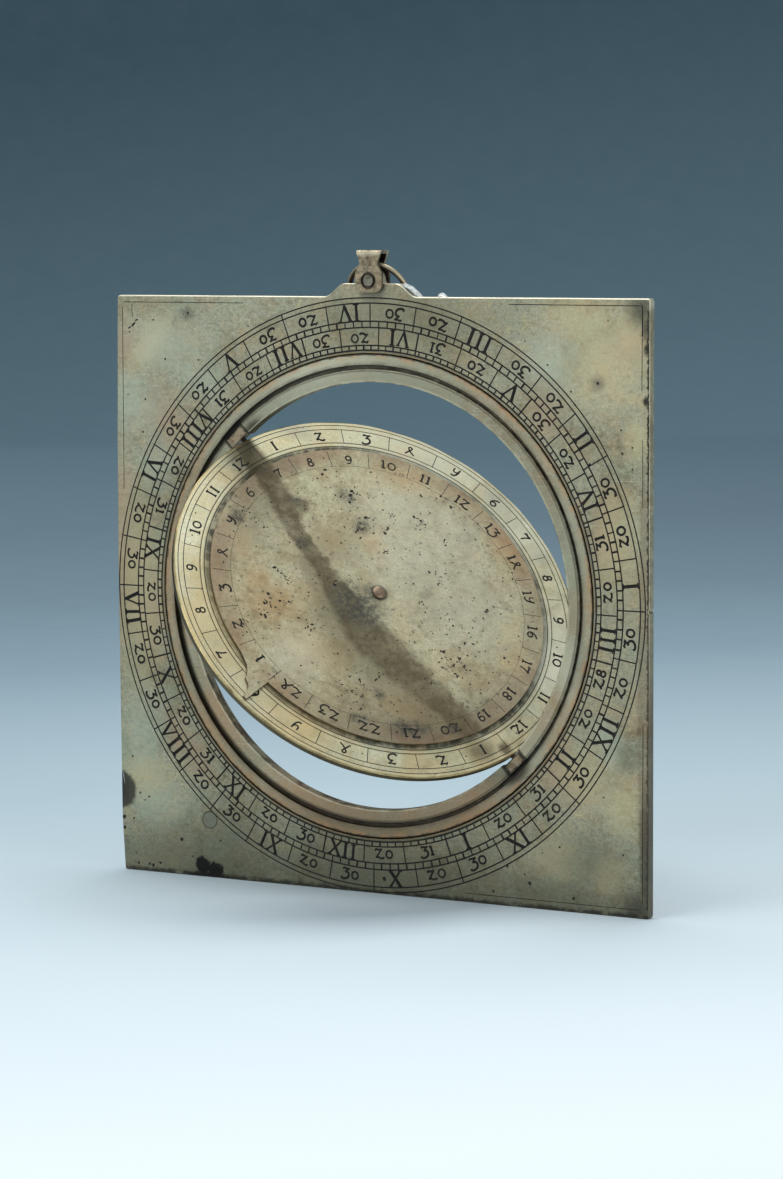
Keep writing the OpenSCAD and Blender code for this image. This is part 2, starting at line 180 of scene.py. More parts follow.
# old-style figures and Roman letters for a height of 1: the width, then the strokes
FIGURES = {
    "0": (0.95, loop(0.47, 0.45, 0.38, 0.41, 14)),
    "1": (0.5, line(1.25, (0.25, 0), (0.25, 0.96)), line(0.8, (0.04, 0), (0.46, 0.02)),
          line(0.8, (0.05, 0.9), (0.24, 0.98))),
    "2": (1.05, curve(1, (0.05, 0.84), (0.18, 0.98), (0.42, 0.9), (0.8, 0.95)),
          line(0.9, (0.8, 0.95), (0.1, 0.1)),
          curve(1.1, (0.1, 0.1), (0.32, 0.16), (0.58, 0.02), (0.9, 0), (1.02, 0.1))),
    "3": (0.92, curve(1, (0.08, 0.9), (0.2, 1), (0.45, 0.94), (0.8, 0.98)),
          line(0.8, (0.8, 0.98), (0.36, 0.6)),
          curve(1.1, (0.36, 0.6), (0.66, 0.56), (0.8, 0.3), (0.68, 0), (0.36, -0.16), (0.02, -0.14),
                (-0.04, 0))),
    "4": (1.0, curve(1, (0, 0), (0.24, 0.28), (0.6, 0.7), (0.66, 0.9), (0.48, 1), (0.3, 0.88), (0.34, 0.68),
                     (0.62, 0.3), (0.98, 0))),
    "5": (0.85, curve(0.9, (0.12, 0.98), (0.1, 0.66), (0.24, 0.52), (0.52, 0.58), (0.64, 0.74)),
          curve(1.05, (0.7, 1), (0.64, 0.6), (0.52, 0.25), (0.3, 0.02), (0.06, 0.04))),
    "6": (0.85, curve(1, (0.74, 1), (0.36, 0.84), (0.12, 0.5), (0.12, 0.2), (0.36, 0), (0.66, 0.12),
                      (0.7, 0.36), (0.5, 0.54), (0.22, 0.46))),
    "7": (0.85, curve(1.1, (0.05, 0.78), (0.16, 0.95), (0.4, 0.88), (0.78, 0.94)),
          curve(0.9, (0.78, 0.94), (0.5, 0.52), (0.34, 0))),
    "8": (0.82, loop(0.4, 0.25, 0.29, 0.26), loop(0.42, 0.75, 0.23, 0.22)),
    "9": (0.82, loop(0.38, 0.68, 0.28, 0.28), curve(0.9, (0.66, 0.7), (0.64, 0.36), (0.44, 0.08), (0.12, 0))),
    "I": (0.48, line(1.25, (0.2, 0), (0.2, 1)), serif(0.02, 0.38, 0), serif(0.02, 0.38, 1)),
    "V": (0.92, line(1.25, (0.05, 1), (0.42, 0.02)), line(0.75, (0.42, 0.02), (0.79, 1)),
          serif(-0.08, 0.2, 1), serif(0.66, 0.92, 1)),
    "X": (0.88, line(1.25, (0.06, 1), (0.76, 0)), line(0.75, (0.76, 1), (0.06, 0)), serif(-0.06, 0.2, 1),
          serif(0.64, 0.88, 1), serif(-0.06, 0.18, 0), serif(0.62, 0.88, 0)),
}
LETTER_GAP = 0.16


def write(text, angle, lettering, outward=False):
    """Figures along an arc, read anticlockwise with their tops inward, or clockwise with them outward."""
    base_r, height, half = lettering
    side = 1 if outward else -1
    widths = [FIGURES[c][0] * height for c in text]
    at = -(sum(widths) + LETTER_GAP * height * (len(text) - 1)) / 2
    strokes = []
    for char, width in zip(text, widths):
        here = angle - side * math.degrees((at + width / 2) / base_r)
        at += width + LETTER_GAP * height
        up = side * polar(1, here)
        right = side * polar(1, here - 90)
        lean = math.radians(rng.gauss(0, 1.6))
        right, up = right * math.cos(lean) + up * math.sin(lean), up * math.cos(lean) - right * math.sin(lean)
        base = polar(base_r, here) + up * rng.gauss(0, 0.05)
        scale = height * rng.uniform(0.95, 1.05)
        full, *parts = FIGURES[char]
        for points, weight, closed in parts:
            q = np.array(points) - (full / 2, 0)
            p = base + scale * (np.outer(q[:, 0], right) + np.outer(q[:, 1], up))
            strokes.append(Stroke(p, half * weight * rng.uniform(1.0, 1.22), closed))
    return strokes


# meshes with engraved faces
FACE, INK, EDGE, BACK = range(4)
COLUMN = 4


def cross(a, b):
    return a[..., 0] * b[..., 1] - a[..., 1] * b[..., 0]


def depth_at(points, starts, ends, halves, depths, lip):
    """How deep the strokes cut at each point, worked out column by column of the face."""
    best = np.zeros(len(points))
    along = ends - starts
    length = np.maximum((along ** 2).sum(1), 1e-12)
    column = np.floor(points[:, 0] / COLUMN).astype(int)
    for c in np.unique(column):
        mine = np.nonzero(column == c)[0]
        lo, hi = COLUMN * c - 1, COLUMN * (c + 1) + 1
        near = (np.minimum(starts[:, 0], ends[:, 0]) < hi) & (np.maximum(starts[:, 0], ends[:, 0]) > lo)
        s, v, n = starts[near], along[near], length[near]
        if len(s) == 0:
            continue
        for i in range(0, len(mine), 300):
            p = points[mine[i:i + 300], None, :]
            t = np.clip(((p - s) * v).sum(2) / n, 0, 1)
            away = np.linalg.norm(p - (s + t[..., None] * v), axis=2)
            share = np.clip(((1 - away / halves[near]) - lip) / (1 - lip), 0, 1)
            best[mine[i:i + 300]] = (share * depths[near]).max(1)
    return best


def triangles(lines, rims):
    """A net of triangles over closed paths, with the lines as edges, and where each rim's points lie."""
    starts = [path if closed else path[:-1] for path, closed in lines] + rims
    ends = [np.roll(path, -1, 0) if closed else path[1:] for path, closed in lines]
    ends += [np.roll(rim, -1, 0) for rim in rims]
    a, b = np.vstack(starts), np.vstack(ends)
    points, where = np.unique(np.round(np.vstack((a, b)), 4), axis=0, return_inverse=True)
    where = where.reshape(-1).tolist()
    edges = {tuple(sorted(e)) for e in zip(where[:len(a)], where[len(a):]) if e[0] != e[1]}
    made = delaunay_2d_cdt([Vector(p) for p in points], sorted(edges), [], 1, 1e-4, True)
    flat = np.array([tuple(v) for v in made[0]])
    tris = np.array([tuple(f) for f in made[2]])
    # which made vertex stands for each asked one, to sew the rims on
    origin = {asked: i for i, sources in enumerate(made[3]) for asked in sources}
    ids, at = [], len(a) - sum(len(r) for r in rims)
    for rim in rims:
        ids.append([origin[where[at + i]] for i in range(len(rim))])
        at += len(rim)
    return flat, tris, ids


def cut_face(strokes, rims):
    """Triangles inside the first closed path and outside the others, cut along every stroke."""
    flat, tris, ids = triangles([part for s in strokes for part in s.lines()], rims)
    middle = flat[tris].mean(1)
    keep = np.ones(len(tris), bool)
    for rim in rims[1:]:
        centre = rim.mean(0)
        hole_r = np.linalg.norm(rim - centre, axis=1).min() * 0.9995 - 0.001
        keep &= np.linalg.norm(middle - centre, axis=1) > hole_r
    # notches of the outer path that the triangles bridge
    on_rim = np.zeros(len(flat), bool)
    on_rim[ids[0]] = True
    p0, p1 = rims[0], np.roll(rims[0], -1, 0)
    for t in np.nonzero(on_rim[tris].all(1))[0]:
        x, y = middle[t]
        over = (p0[:, 1] > y) != (p1[:, 1] > y)
        at_x = p0[over, 0] + (y - p0[over, 1]) / (p1[over, 1] - p0[over, 1]) * (p1[over, 0] - p0[over, 0])
        keep[t] &= bool((at_x > x).sum() % 2)
    tris = tris[keep]
    deep, inked = np.zeros(len(flat)), np.zeros(len(tris), bool)
    if strokes:
        bottoms = [s.bottom() for s in strokes]
        counts = [len(a) for a, _ in bottoms]
        cuts = (np.vstack([a for a, _ in bottoms]), np.vstack([b for _, b in bottoms]),
                np.repeat([s.half for s in strokes], counts), np.repeat([s.depth for s in strokes], counts))
        inked = depth_at(flat[tris].mean(1), *cuts, 0.02) > 0
        dry = np.ones(len(flat), bool)
        dry[tris[inked]] = False
        deep = np.where(dry, 0, depth_at(flat, *cuts, 0.22))
    return flat, deep, tris, inked, ids


def facing(flat, tris, side):
    """Triangles turned to the front (1) or to the back (-1), and which of them have an area."""
    a, b, c = flat[tris[:, 0]], flat[tris[:, 1]], flat[tris[:, 2]]
    area = side * cross(b - a, c - a)
    return np.where((area < 0)[:, None], tris[:, ::-1], tris), np.abs(area) > 1e-9


def bevelled(outline, bevel):
    """The outline drawn in by a bevel that a hand has filed a little unevenly."""
    ahead = np.roll(outline, -1, 0) - outline
    ahead /= np.linalg.norm(ahead, axis=1)[:, None]
    normal = ahead + np.roll(ahead, 1, 0)
    normal = np.stack((-normal[:, 1], normal[:, 0]), 1)
    normal /= np.linalg.norm(normal, axis=1)[:, None]
    return outline + normal * (bevel * (1 + 0.25 * np.sin(np.arange(len(outline)) * 0.37)))[:, None]


def mesh_of(name, points, faces, matrix):
    """A mesh from points in millimetres of a frame."""
    mesh = bpy.data.meshes.new(name)
    mesh.from_pydata([tuple((matrix @ Vector(p)) * MM) for p in points], [], faces)
    return mesh


def link(name, data):
    made = bpy.data.objects.new(name, data)
    bpy.context.scene.collection.objects.link(made)
    return made


def dress(name, mesh, body, nodes):
    """Puts a mesh in the place of the model's own nodes, riding on their body."""
    mesh.validate()
    mesh.update()
    piece = link(name, mesh)
    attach(piece, body)
    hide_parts(*nodes)


def worked_plate(name, body, nodes, matrix, strokes, outline, holes, top, bottom, bevel, mats):
    """A flat piece with an engraved front: bevelled outline, round holes (x, y, r, bevel), walls and back."""
    outline = np.array(outline)
    paths = [(bevelled(outline, bevel), outline, bevel)]
    for x, y, r, soft in holes:
        count = RING_STEPS if r > 5 else 36
        ring = np.array([polar(1, 360 * i / count) for i in range(count)])
        paths.append((np.array((x, y)) + (r + soft) * ring, np.array((x, y)) + r * ring, soft))
    rims = [path[0] for path in paths]
    flat, deep, tris, inked, ids = cut_face(strokes, rims)
    points = [(v[0], v[1], top - d) for v, d in zip(flat, deep)]
    tris, solid = facing(flat, tris, 1)
    faces = tris[solid].tolist()
    mark = np.where(inked[solid], INK, FACE).tolist()
    flat, _, tris, _, back_ids = cut_face([], rims)
    start = len(points)
    points += [(v[0], v[1], bottom) for v in flat]
    faces += (facing(flat, tris, -1)[0] + start).tolist()
    mark += [BACK] * len(tris)
    for index, (path, edge, drop) in enumerate(paths):
        rings = [ids[index]]
        for z in (top - drop, bottom + drop):
            rings.append(list(range(len(points), len(points) + len(edge))))
            points += [(p[0], p[1], z) for p in edge]
        rings.append([start + i for i in back_ids[index]])
        for one, two in zip(rings[:-1], rings[1:]):
            for i in range(len(edge)):
                j = (i + 1) % len(edge)
                quad = [one[i], two[i], two[j], one[j]]
                faces.append(quad if index == 0 else quad[::-1])
                mark.append(EDGE)
    mesh = mesh_of(name, points, faces, matrix)
    for m in mats:
        mesh.materials.append(m)
    mesh.polygons.foreach_set("material_index", mark)
    dress(name, mesh, body, nodes)


# material graphs
class Graph:
    """A short hand for shader nodes: sockets or plain values go in, sockets come out."""

    def __init__(self, name):
        self.mat = bpy.data.materials.new(name)
        self.mat.use_nodes = True
        self.tree = self.mat.node_tree
        self.tree.nodes.clear()
        self.shader = self.add("BsdfPrincipled")
        self.add("OutputMaterial", [self.shader.outputs[0]])

    def add(self, kind, inputs=(), **settings):
        """A new node: its settings by name, its inputs by name or in order."""
        node = self.tree.nodes.new("ShaderNode" + kind)
        for key, value in settings.items():
            setattr(node, key, value)
        for key, value in inputs.items() if isinstance(inputs, dict) else enumerate(inputs):
            self.put(node.inputs[key], value)
        return node

    def put(self, socket, value):
        if isinstance(value, bpy.types.NodeSocket):
            self.tree.links.new(value, socket)
        else:
            socket.default_value = (*value, 1.0) if socket.type == "RGBA" else value

    def shade(self, **sockets):
        """Sets the shader's own sockets and hands over the material."""
        for name, value in sockets.items():
            self.put(self.shader.inputs[name.replace("_", " ")], value)
        return self.mat

    def place(self, matrix):
        """Object coordinates in millimetres of a frame, such as the dial's or the hour plate's."""
        back = matrix.inverted()
        inputs = {"Vector": self.add("TexCoord").outputs["Object"], "Location": back.to_translation(),
                  "Rotation": back.to_euler(), "Scale": (1 / MM, 1 / MM, 1 / MM)}
        return self.add("Mapping", inputs, vector_type="POINT").outputs[0]

    def math(self, kind, a, b=0.0, clamp=False):
        return self.add("Math", (a, b), operation=kind, use_clamp=clamp).outputs[0]

    def chain(self, kind, values):
        """One value from many, each made only when its turn comes: the renderer holds few at a time."""
        values = iter(values)
        out = next(values)
        for value in values:
            out = self.math(kind, out, value)
        return out

    def times(self, *values):
        return self.chain("MULTIPLY", values)

    def plus(self, *values):
        return self.chain("ADD", values)

    def most(self, *values):
        return self.chain("MAXIMUM", values)

    def vmath(self, kind, a, b=(0, 0, 0)):
        node = self.add("VectorMath", (a, b), operation=kind)
        return node.outputs["Value" if kind in ("DISTANCE", "LENGTH", "DOT_PRODUCT") else "Vector"]

    def parts(self, vector):
        return self.add("SeparateXYZ", [vector]).outputs

    def span(self, value, lo, hi, out_lo=0.0, out_hi=1.0, kind="SMOOTHSTEP"):
        return self.add("MapRange", (value, lo, hi, out_lo, out_hi), interpolation_type=kind).outputs[0]

    def noise(self, vector, scale, detail=4.0, rough=0.55, twist=0.0, stretch=None, turn=0.0):
        if stretch:
            inputs = {"Vector": vector, "Rotation": (0, 0, math.radians(turn)), "Scale": stretch}
            vector = self.add("Mapping", inputs).outputs[0]
        inputs = {"Vector": vector, "Scale": scale, "Detail": detail, "Roughness": rough, "Distortion": twist}
        return self.add("TexNoise", inputs).outputs[0]

    def cells(self, vector, scale):
        return self.add("TexVoronoi", {"Vector": vector, "Scale": scale}).outputs["Distance"]

    def ramp(self, share, stops, kind="EASE"):
        node = self.add("ValToRGB", [share])
        node.color_ramp.interpolation = kind
        while len(node.color_ramp.elements) < len(stops):
            node.color_ramp.elements.new(0.5)
        for element, (place, colour) in zip(node.color_ramp.elements, stops):
            element.position = place
            element.color = (*colour, 1.0)
        return node.outputs[0]

    def bump(self, height, distance, strength):
        return self.add("Bump", {"Strength": strength, "Distance": distance, "Height": height}).outputs[0]

    def mix(self, share, a, b):
        return self.add("Mix", {0: share, 6: a, 7: b}, data_type="RGBA").outputs[2]

    def over(self, colour, tone, *shares):
        """Lays a screen tone over a colour, as strongly as the product of the shares says."""
        return self.mix(self.times(*shares), colour, srgb(*tone))

    def blot(self, vector, x, y, r, wide=1.0, turn=0.0, soft=0.9):
        """A stain round a point of the face: 1 inside, 0 outside."""
        inputs = {"Vector": vector, "Location": (x, y, 0), "Rotation": (0, 0, math.radians(turn)),
                  "Scale": (wide, 1, 1000)}
        moved = self.add("Mapping", inputs, vector_type="TEXTURE").outputs[0]
        return self.span(self.vmath("LENGTH", moved), r * (1 + soft), r * (1 - soft))

    def blots(self, vector, spots):
        return self.chain("MAXIMUM", (self.blot(vector, *spot) for spot in spots))

    def tint(self, colour, vector, layers):
        """Lays tones over soft spots: each layer is its share, its screen tone and its spots."""
        for share, tone, spots in layers:
            colour = self.over(colour, tone, self.blots(vector, spots), share)
        return colour

    def streak(self, flat, a, b, r0, r1, soft):
        """A smear from one point to another, r0 wide at its start and r1 at its end."""
        length = math.dist(a, b)
        turn = math.atan2(b[1] - a[1], b[0] - a[0])
        inputs = {"Vector": flat, "Location": (*a, 0), "Rotation": (0, 0, turn)}
        x, y, _ = self.parts(self.add("Mapping", inputs, vector_type="TEXTURE").outputs[0])
        along = self.math("MINIMUM", self.math("MAXIMUM", x, 0.0), length)
        past = self.math("SUBTRACT", x, along)
        away = self.math("SQRT", self.plus(self.times(past, past), self.times(y, y)))
        wide = self.span(along, 0.0, length, r0, r1, "LINEAR")
        return self.span(self.math("DIVIDE", away, wide), 1 + soft, 1 - soft)

    def track(self, flat, points, soft):
        """A smear along a line of points, each with its half width."""
        pairs = zip(points[:-1], points[1:])
        return self.chain("MAXIMUM", (self.streak(flat, a, b, ra, rb, soft) for (a, ra), (b, rb) in pairs))

    def flat(self, vector):
        return self.vmath("MULTIPLY", vector, (1, 1, 0))

    def ragged(self, at, reach, scale):
        """The face's coordinates, shaken so that spots laid on them get ragged edges."""
        moved = []
        for away in ((0, 0, 0), (13, 7, 3)):
            wave = self.noise(self.vmath("ADD", at, away), scale, 5, 0.65)
            moved.append(self.times(self.math("SUBTRACT", wave, 0.5), reach))
        return self.flat(self.vmath("ADD", at, self.add("CombineXYZ", moved).outputs[0]))

    def from_axis(self, flat):
        """How far a point lies along the hour plate's axis from the centre, and how far beside it."""
        inputs = {"Vector": flat, "Rotation": (0, 0, math.radians(-CARRIER_ANGLE))}
        x, y, _ = self.parts(self.add("Mapping", inputs).outputs[0])
        return self.math("ABSOLUTE", x), self.math("ABSOLUTE", y)


def srgb(r, g, b):
    """A screen colour as the shader's linear one."""
    return tuple(((c / 255 + 0.055) / 1.055) ** 2.4 if c > 10 else c / 255 / 12.92 for c in (r, g, b))


def scaled(tone, share):
    return tuple(min(1.0, share * c) for c in tone)


def aged_gilding(name, matrix, tones, warm, warm_share=0.5, rough=0.42, metal=0.75, scratch=1.0, stains_and_light=None,
                 speck=0.6, bump=1.0, seed=0.0, vary=0.25):
    """Worn gilt brass: clouded tones, warm patches, specks, fine scratches, and its own marks, on some parts
    with painted light and shade.
    """
    tones = [(place, srgb(*tone)) for place, tone in tones]
    warm, dark, bright = srgb(*warm), tones[0][1], tones[-1][1]
    g = Graph(name)
    base = g.place(matrix)
    at = g.vmath("ADD", base, (seed, 0, 0)) if seed else base
    cloud = g.noise(at, 0.055, 5, 0.6, 0.6)
    mottle = g.noise(at, 0.45, 6, 0.62)
    fine = g.noise(at, 2.6, 4, 0.6)
    colour = g.ramp(g.plus(g.times(cloud, 0.55), g.times(mottle, 0.45)), tones)
    drift = g.noise(g.vmath("ADD", at, (57, 23, 11)), 0.17, 5, 0.66, 0.4)
    cool = tuple(c * k for c, k in zip(tones[-2][1], (0.84, 1.0, 1.0)))
    colour = g.mix(g.span(drift, 0.52, 0.36, 0.0, vary), colour, cool)
    colour = g.mix(g.span(drift, 0.5, 0.66, 0.0, vary), colour, warm)
    grain = g.noise(at, 1.1, 5, 0.68)
    colour = g.mix(g.span(grain, 0.5, 0.3, 0.0, 1.1 * vary), colour, scaled(dark, 0.55))
    colour = g.mix(g.span(grain, 0.53, 0.72, 0.0, 1.1 * vary), colour, scaled(bright, 1.3))
    patch = g.noise(g.vmath("ADD", at, (31, 17, 5)), 0.04, 4, 0.55, 0.8)
    colour = g.mix(g.times(g.span(patch, 0.52, 0.7), warm_share), colour, warm)
    colour = g.mix(g.span(fine, 0.35, 0.7, 0.0, 0.42), colour, scaled(dark, 0.72))
    scratches = [g.span(g.noise(at, scale, 2, 0.5, stretch=(0.12, 5.0, 1.0), turn=turn), 0.66, 0.74)
                 for turn, scale in ((12, 0.9), (-58, 0.7), (83, 0.8))]
    scratched = g.math("MINIMUM", g.plus(*scratches), 1.0)
    colour = g.mix(g.times(scratched, 0.22 * scratch), colour, (0.75, 0.72, 0.6))
    score = g.noise(g.vmath("ADD", at, (7, 41, 0)), 0.6, 2, 0.5, stretch=(0.1, 6.0, 1.0), turn=37)
    colour = g.mix(g.times(g.span(score, 0.69, 0.76), 0.35 * scratch), colour, scaled(dark, 0.45))
    dots = g.times(g.span(g.cells(at, 0.75), 0.16, 0.05), g.span(g.noise(at, 0.12, 2, 0.5), 0.5, 0.62))
    colour = g.mix(g.times(dots, speck), colour, (0.05, 0.055, 0.05))
    roughness = g.span(mottle, 0.25, 0.8, rough - 0.08, rough + 0.16, "LINEAR")
    if stains_and_light:
        colour, roughness = stains_and_light(g, base, colour, roughness)
    height = g.plus(g.times(mottle, 0.5), g.plus(g.times(fine, 0.25), g.times(scratched, -0.2)))
    height = g.math("SUBTRACT", height, g.times(dots, 0.5))
    return g.shade(Base_Color=colour, Roughness=roughness, Metallic=metal,
                   Normal=g.bump(height, 0.00006, 0.35 * bump))


def black_fill(name, matrix, lift=0.0):
    """Old black wax and dirt in the engraving, worn thin in places."""
    g = Graph(name)
    at = g.place(matrix)
    n = g.noise(at, 1.4, 5, 0.65)
    share = g.plus(g.times(n, 0.6), g.times(g.noise(at, 0.09, 3, 0.5), 0.4))
    tone = g.ramp(share, [(0.46 - lift, srgb(12, 11, 8)), (0.74 - lift, srgb(66, 58, 42))])
    return g.shade(Base_Color=tone, Roughness=g.span(n, 0.2, 0.8, 0.5, 0.85, "LINEAR"), Metallic=0.15,
                   Normal=g.bump(n, 0.00005, 0.5))


# the square plate
BITE_Z, BITE_HALF, BITE_DEPTH = 16.9, 3.7, 0.42
LEFT_STEPS, EAR_STEPS = 90, 10


def straight(a, b, step=1.5):
    """Points from a towards b, which is left out."""
    count = max(2, int(math.dist(a, b) / step))
    return [(a[0] + i / count * (b[0] - a[0]), a[1] + i / count * (b[1] - a[1])) for i in range(count)]


def arc(cx, cy, r, start, sweep=90, steps=4):
    return [tuple(polar(r, start + sweep * i / steps) + (cx, cy)) for i in range(steps + 1)]


def plate_outline():
    """The plate's edge as filed by hand, seen from the front, counter-clockwise from the right."""
    c, half = CORNER_R, PLATE_H / 2
    # right edge, with the nick beside the zero of the signs
    points = straight((RIGHT, c - half), (RIGHT, -0.9))
    points += [(RIGHT, -0.45), (RIGHT - 0.3, 0.0), (RIGHT - 0.05, 0.35)]
    points += straight((RIGHT, 0.7), (RIGHT, half - c)) + arc(RIGHT - c, half - c, c, 0)
    # top edge with the ear
    shoulder = [(EAR_TOP_W / 2 + i / EAR_STEPS * (EAR_BASE_W - EAR_TOP_W) / 2,
                 half + EAR_H * (1 + math.cos(math.pi * i / EAR_STEPS)) / 2) for i in range(EAR_STEPS + 1)]
    points += straight((RIGHT - c - 0.1, half), (EAR_BASE_W / 2 + 0.2, half)) + shoulder[::-1]
    points += [(EYE_R + 0.3, half + EAR_H)] + arc(0, half + RIVET_RISE, EYE_R, 0, 180, 16)
    points += [(-EYE_R - 0.3, half + EAR_H)] + [(-x, y) for x, y in shoulder]
    points += straight((-EAR_BASE_W / 2 - 0.2, half), (LEFT + c + 0.1, half)) + arc(LEFT + c, half - c, c, 90)
    # left edge, bowed, with the shallow half-round bite near its foot
    for i in range(1, LEFT_STEPS):
        s = 1 - i / LEFT_STEPS
        bow = LEFT_BOW * (1 - (2 * s - 1) ** 2)
        bite = BITE_DEPTH * max(0.0, 1 - ((PLATE_H * s - BITE_Z) / BITE_HALF) ** 2) ** 0.5
        points.append((LEFT - bow + bite, PLATE_H * s - half))
    points += arc(LEFT + c, c - half, c, 180)
    points += straight((LEFT + c + 0.1, -half), (RIGHT - c - 0.1, -half)) + arc(RIGHT - c, c - half, c, 270)
    clean = points[:1]
    for p in points[1:]:
        if min(math.dist(p, clean[-1]), math.dist(p, clean[0])) > 0.02:
            clean.append(p)
    return clean


NUMERALS = "I II III IV V VI VII VIII IX X XI XII".split()
# days of the months in the order of the scale, March first
MONTH_DAYS = (31, 30, 31, 30, 31, 31, 30, 31, 30, 31, 31, 28)
FIRST_DAY, YEAR = 10, 365.25
# scribed lines near the edges and scratched marks in the upper left corner: half width, points
PLATE_MARKS = [
    (0.07, (LEFT + 1.5, 58.6), (LEFT + 30, 58.55)), (0.075, (LEFT + 1.2, 57.5), (LEFT + 1.0, 20)),
    (0.085, (RIGHT - 30, 58.7), (RIGHT - 1.5, 58.6)), (0.13, (RIGHT - 1.6, 58.4), (RIGHT - 1.6, 52.8)),
    (0.075, (RIGHT - 1.62, 52.4), (RIGHT - 1.68, 42.4)), (0.06, (RIGHT - 1.5, 33), (RIGHT - 1.45, 20)),
    (0.07, (-55.9, 58.2), (-55.8, 55.5)), (0.15, (-54.5, 55.0), (-55.1, 54.8)),
    (0.22, (-55.3, 54.3), (-55.8, 53.7)), (0.14, (-56.2, 53.5), (-56.8, 53.2)),
    (0.075, (RIGHT - 1.3, -22), (RIGHT - 1.4, -57)), (0.07, (RIGHT - 1.8, -58.3), (RIGHT - 40, -58.2)),
]
# larger pits and dents: x, y, half width
PLATE_PITS = [
    (2.4, -56.9, 0.5), (-52.4, -58.6, 0.4), (-53.3, -58.4, 0.3), (-59.4, -48.9, 0.45), (-59.3, -51.2, 0.4),
    (-56, -58.4, 0.3), (-50.6, -58, 0.35), (-45.4, -52.6, 0.4), (30, -52, 0.35), (48, 28, 0.3),
    (54.9, 30.3, 0.3), (44, 42, 0.25), (35, -55, 0.4), (44.5, -57.2, 0.35), (-57, -49, 0.25),
    (27, -57.3, 0.3), (-48, 47, 0.25), (49.7, 43.7, 0.35), (-42.4, 56.4, 0.3), (-55.4, -43.5, 0.25),
    (-54.2, -45, 0.2), (57, 31.5, 0.22), (54.6, 34.8, 0.22), (57, 27.3, 0.2), (41.5, -47.3, 0.25),
]


def sun_angle(day):
    """Where the Sun stands at the end of a day counted from the first of March."""
    mean = (day - FIRST_DAY) * 360 / YEAR - 3.09
    return mean + 1.92 * math.sin(math.radians(mean - 279))


def plate_strokes():
    cuts = [circle(r, half, 0.03) for r, half in PLATE_CIRCLES]
    for k in range(36):
        angle = 10 * k + rng.gauss(0, 0.06)
        cuts.append(radius(angle, MONTH_OUT - 0.05, SIGN_OUT + rng.choice((0.1, 0.1, 0.9)), 0.14))
    for k in range(180):
        if k % 5:
            angle = 2 * k + rng.gauss(0, 0.06)
            cuts.append(radius(angle, MONTH_OUT + 0.02, SIGN_IN - 0.02, 0.16 * rng.uniform(0.85, 1.4)))
    day = 0
    for name, days in zip(NUMERALS[2:] + NUMERALS[:2], MONTH_DAYS):
        for stop in (10, 20, days):
            width = 0.18 if stop == days else 0.14
            cuts.append(radius(sun_angle(day + stop), DAY_IN, MONTH_OUT - 0.02, width))
        for d in range(2, days, 2):
            if d not in (10, 20):
                width = 0.16 * rng.uniform(0.8, 1.3)
                cuts.append(radius(sun_angle(day + d), DAY_IN + 0.02, DAY_OUT - 0.02, width))
        cuts += write(name, sun_angle(day + 5) - 0.2, MONTH_NAME)
        cuts += write("20", sun_angle(day + 15), TWENTIETH)
        cuts += write(str(days), sun_angle(day + 20.3 + (days - 20) / 2), LAST_DAY)
        day += days
    for k, sign in enumerate(NUMERALS):
        cuts += write(sign, 30 * k + 5, SIGN_NAME)
        cuts += write("20", 30 * k + 14.6, SIGN_COUNT)
        cuts += write("30", 30 * k + 24.6, SIGN_COUNT)
    cuts += [Stroke(points, half) for half, *points in PLATE_MARKS]
    cuts += [pit(x, y, half, 0.12) for x, y, half in PLATE_PITS]
    for _ in range(170):
        x, y = rng.uniform(LEFT + 1.5, RIGHT - 1.5), rng.uniform(-58, 58)
        if math.hypot(x, y) > 60.5:
            cuts.append(pit(x, y, rng.uniform(0.08, 0.26), 0.06))
    return cuts


# stains of the plate: layers of a share, a screen tone and spots, as Graph.blot takes them
PLATE_CLOUDS = [
    (0.5, (168, 140, 112), [(-60, 8, 15, 0.35), (-47, 34, 6, 0.6, 40), (-52, -6, 7, 0.5),
     (38, 38, 5, 0.7, -30), (57, 50.6, 3, 1.2), (57, 50.6, 2.4, 1.2), (-44, -32, 7, 0.4, 40),
     (40, -31, 9, 0.4, 45), (51, 14, 7, 0.3), (-58, 50, 4, 0.5)]),
    (0.48, (198, 184, 142), [(51, 47, 8), (-52, 50, 6, 0.4, -40), (-54, -40, 4, 1.3, 0, 0.8),
     (47, -33, 5), (58, 33, 4, 0.7), (41, -50, 4, 1.2), (56, 53, 5), (46, 56, 5, 1.4),
     (54, 13, 9, 0.5, 0, 0.8), (-54.5, 0, 18, 0.26, 0, 0.8), (55, -38, 5, 0.8), (52, -52, 3)]),
    (0.46, (174, 184, 164), [(-47, 50, 5, 1.6), (39, 47, 5, 1, 30), (-55, -31, 7, 0.8),
     (-50, 24, 5, 0.6), (-38, 42, 6, 0.6, 40), (52, -26, 5, 0.5, 30), (-57, 38, 6),
     (-51, -46, 4, 1.4)]),
    (0.5, (92, 94, 74), [(-42, -57, 7, 3, 0, 0.8), (40, -59, 5, 3, 0, 0.8),
     (0, -59, 6, 3.5, 0, 0.8), (-60, -56, 4.5, 1, 0, 0.8), (-33, -52, 5), (10, 55, 6, 3.2),
     (56, -28, 3, 0.6), (48, -49, 5, 1.4)]),
]
PLATE_FOOT = [
    (0.52, (66, 70, 58), [(0, -56, 10, 3.3), (0, -62, 14, 4)]),
]
LEFT_STAIN = [
    (0.9, (46, 46, 40), [(-60.3, -43.1, 3.9, 0.98, 0, 0.13)]),
    (0.6, (24, 25, 25), [(-60.9, -43.1, 3, 0.8, 0, 0.6)]),
]
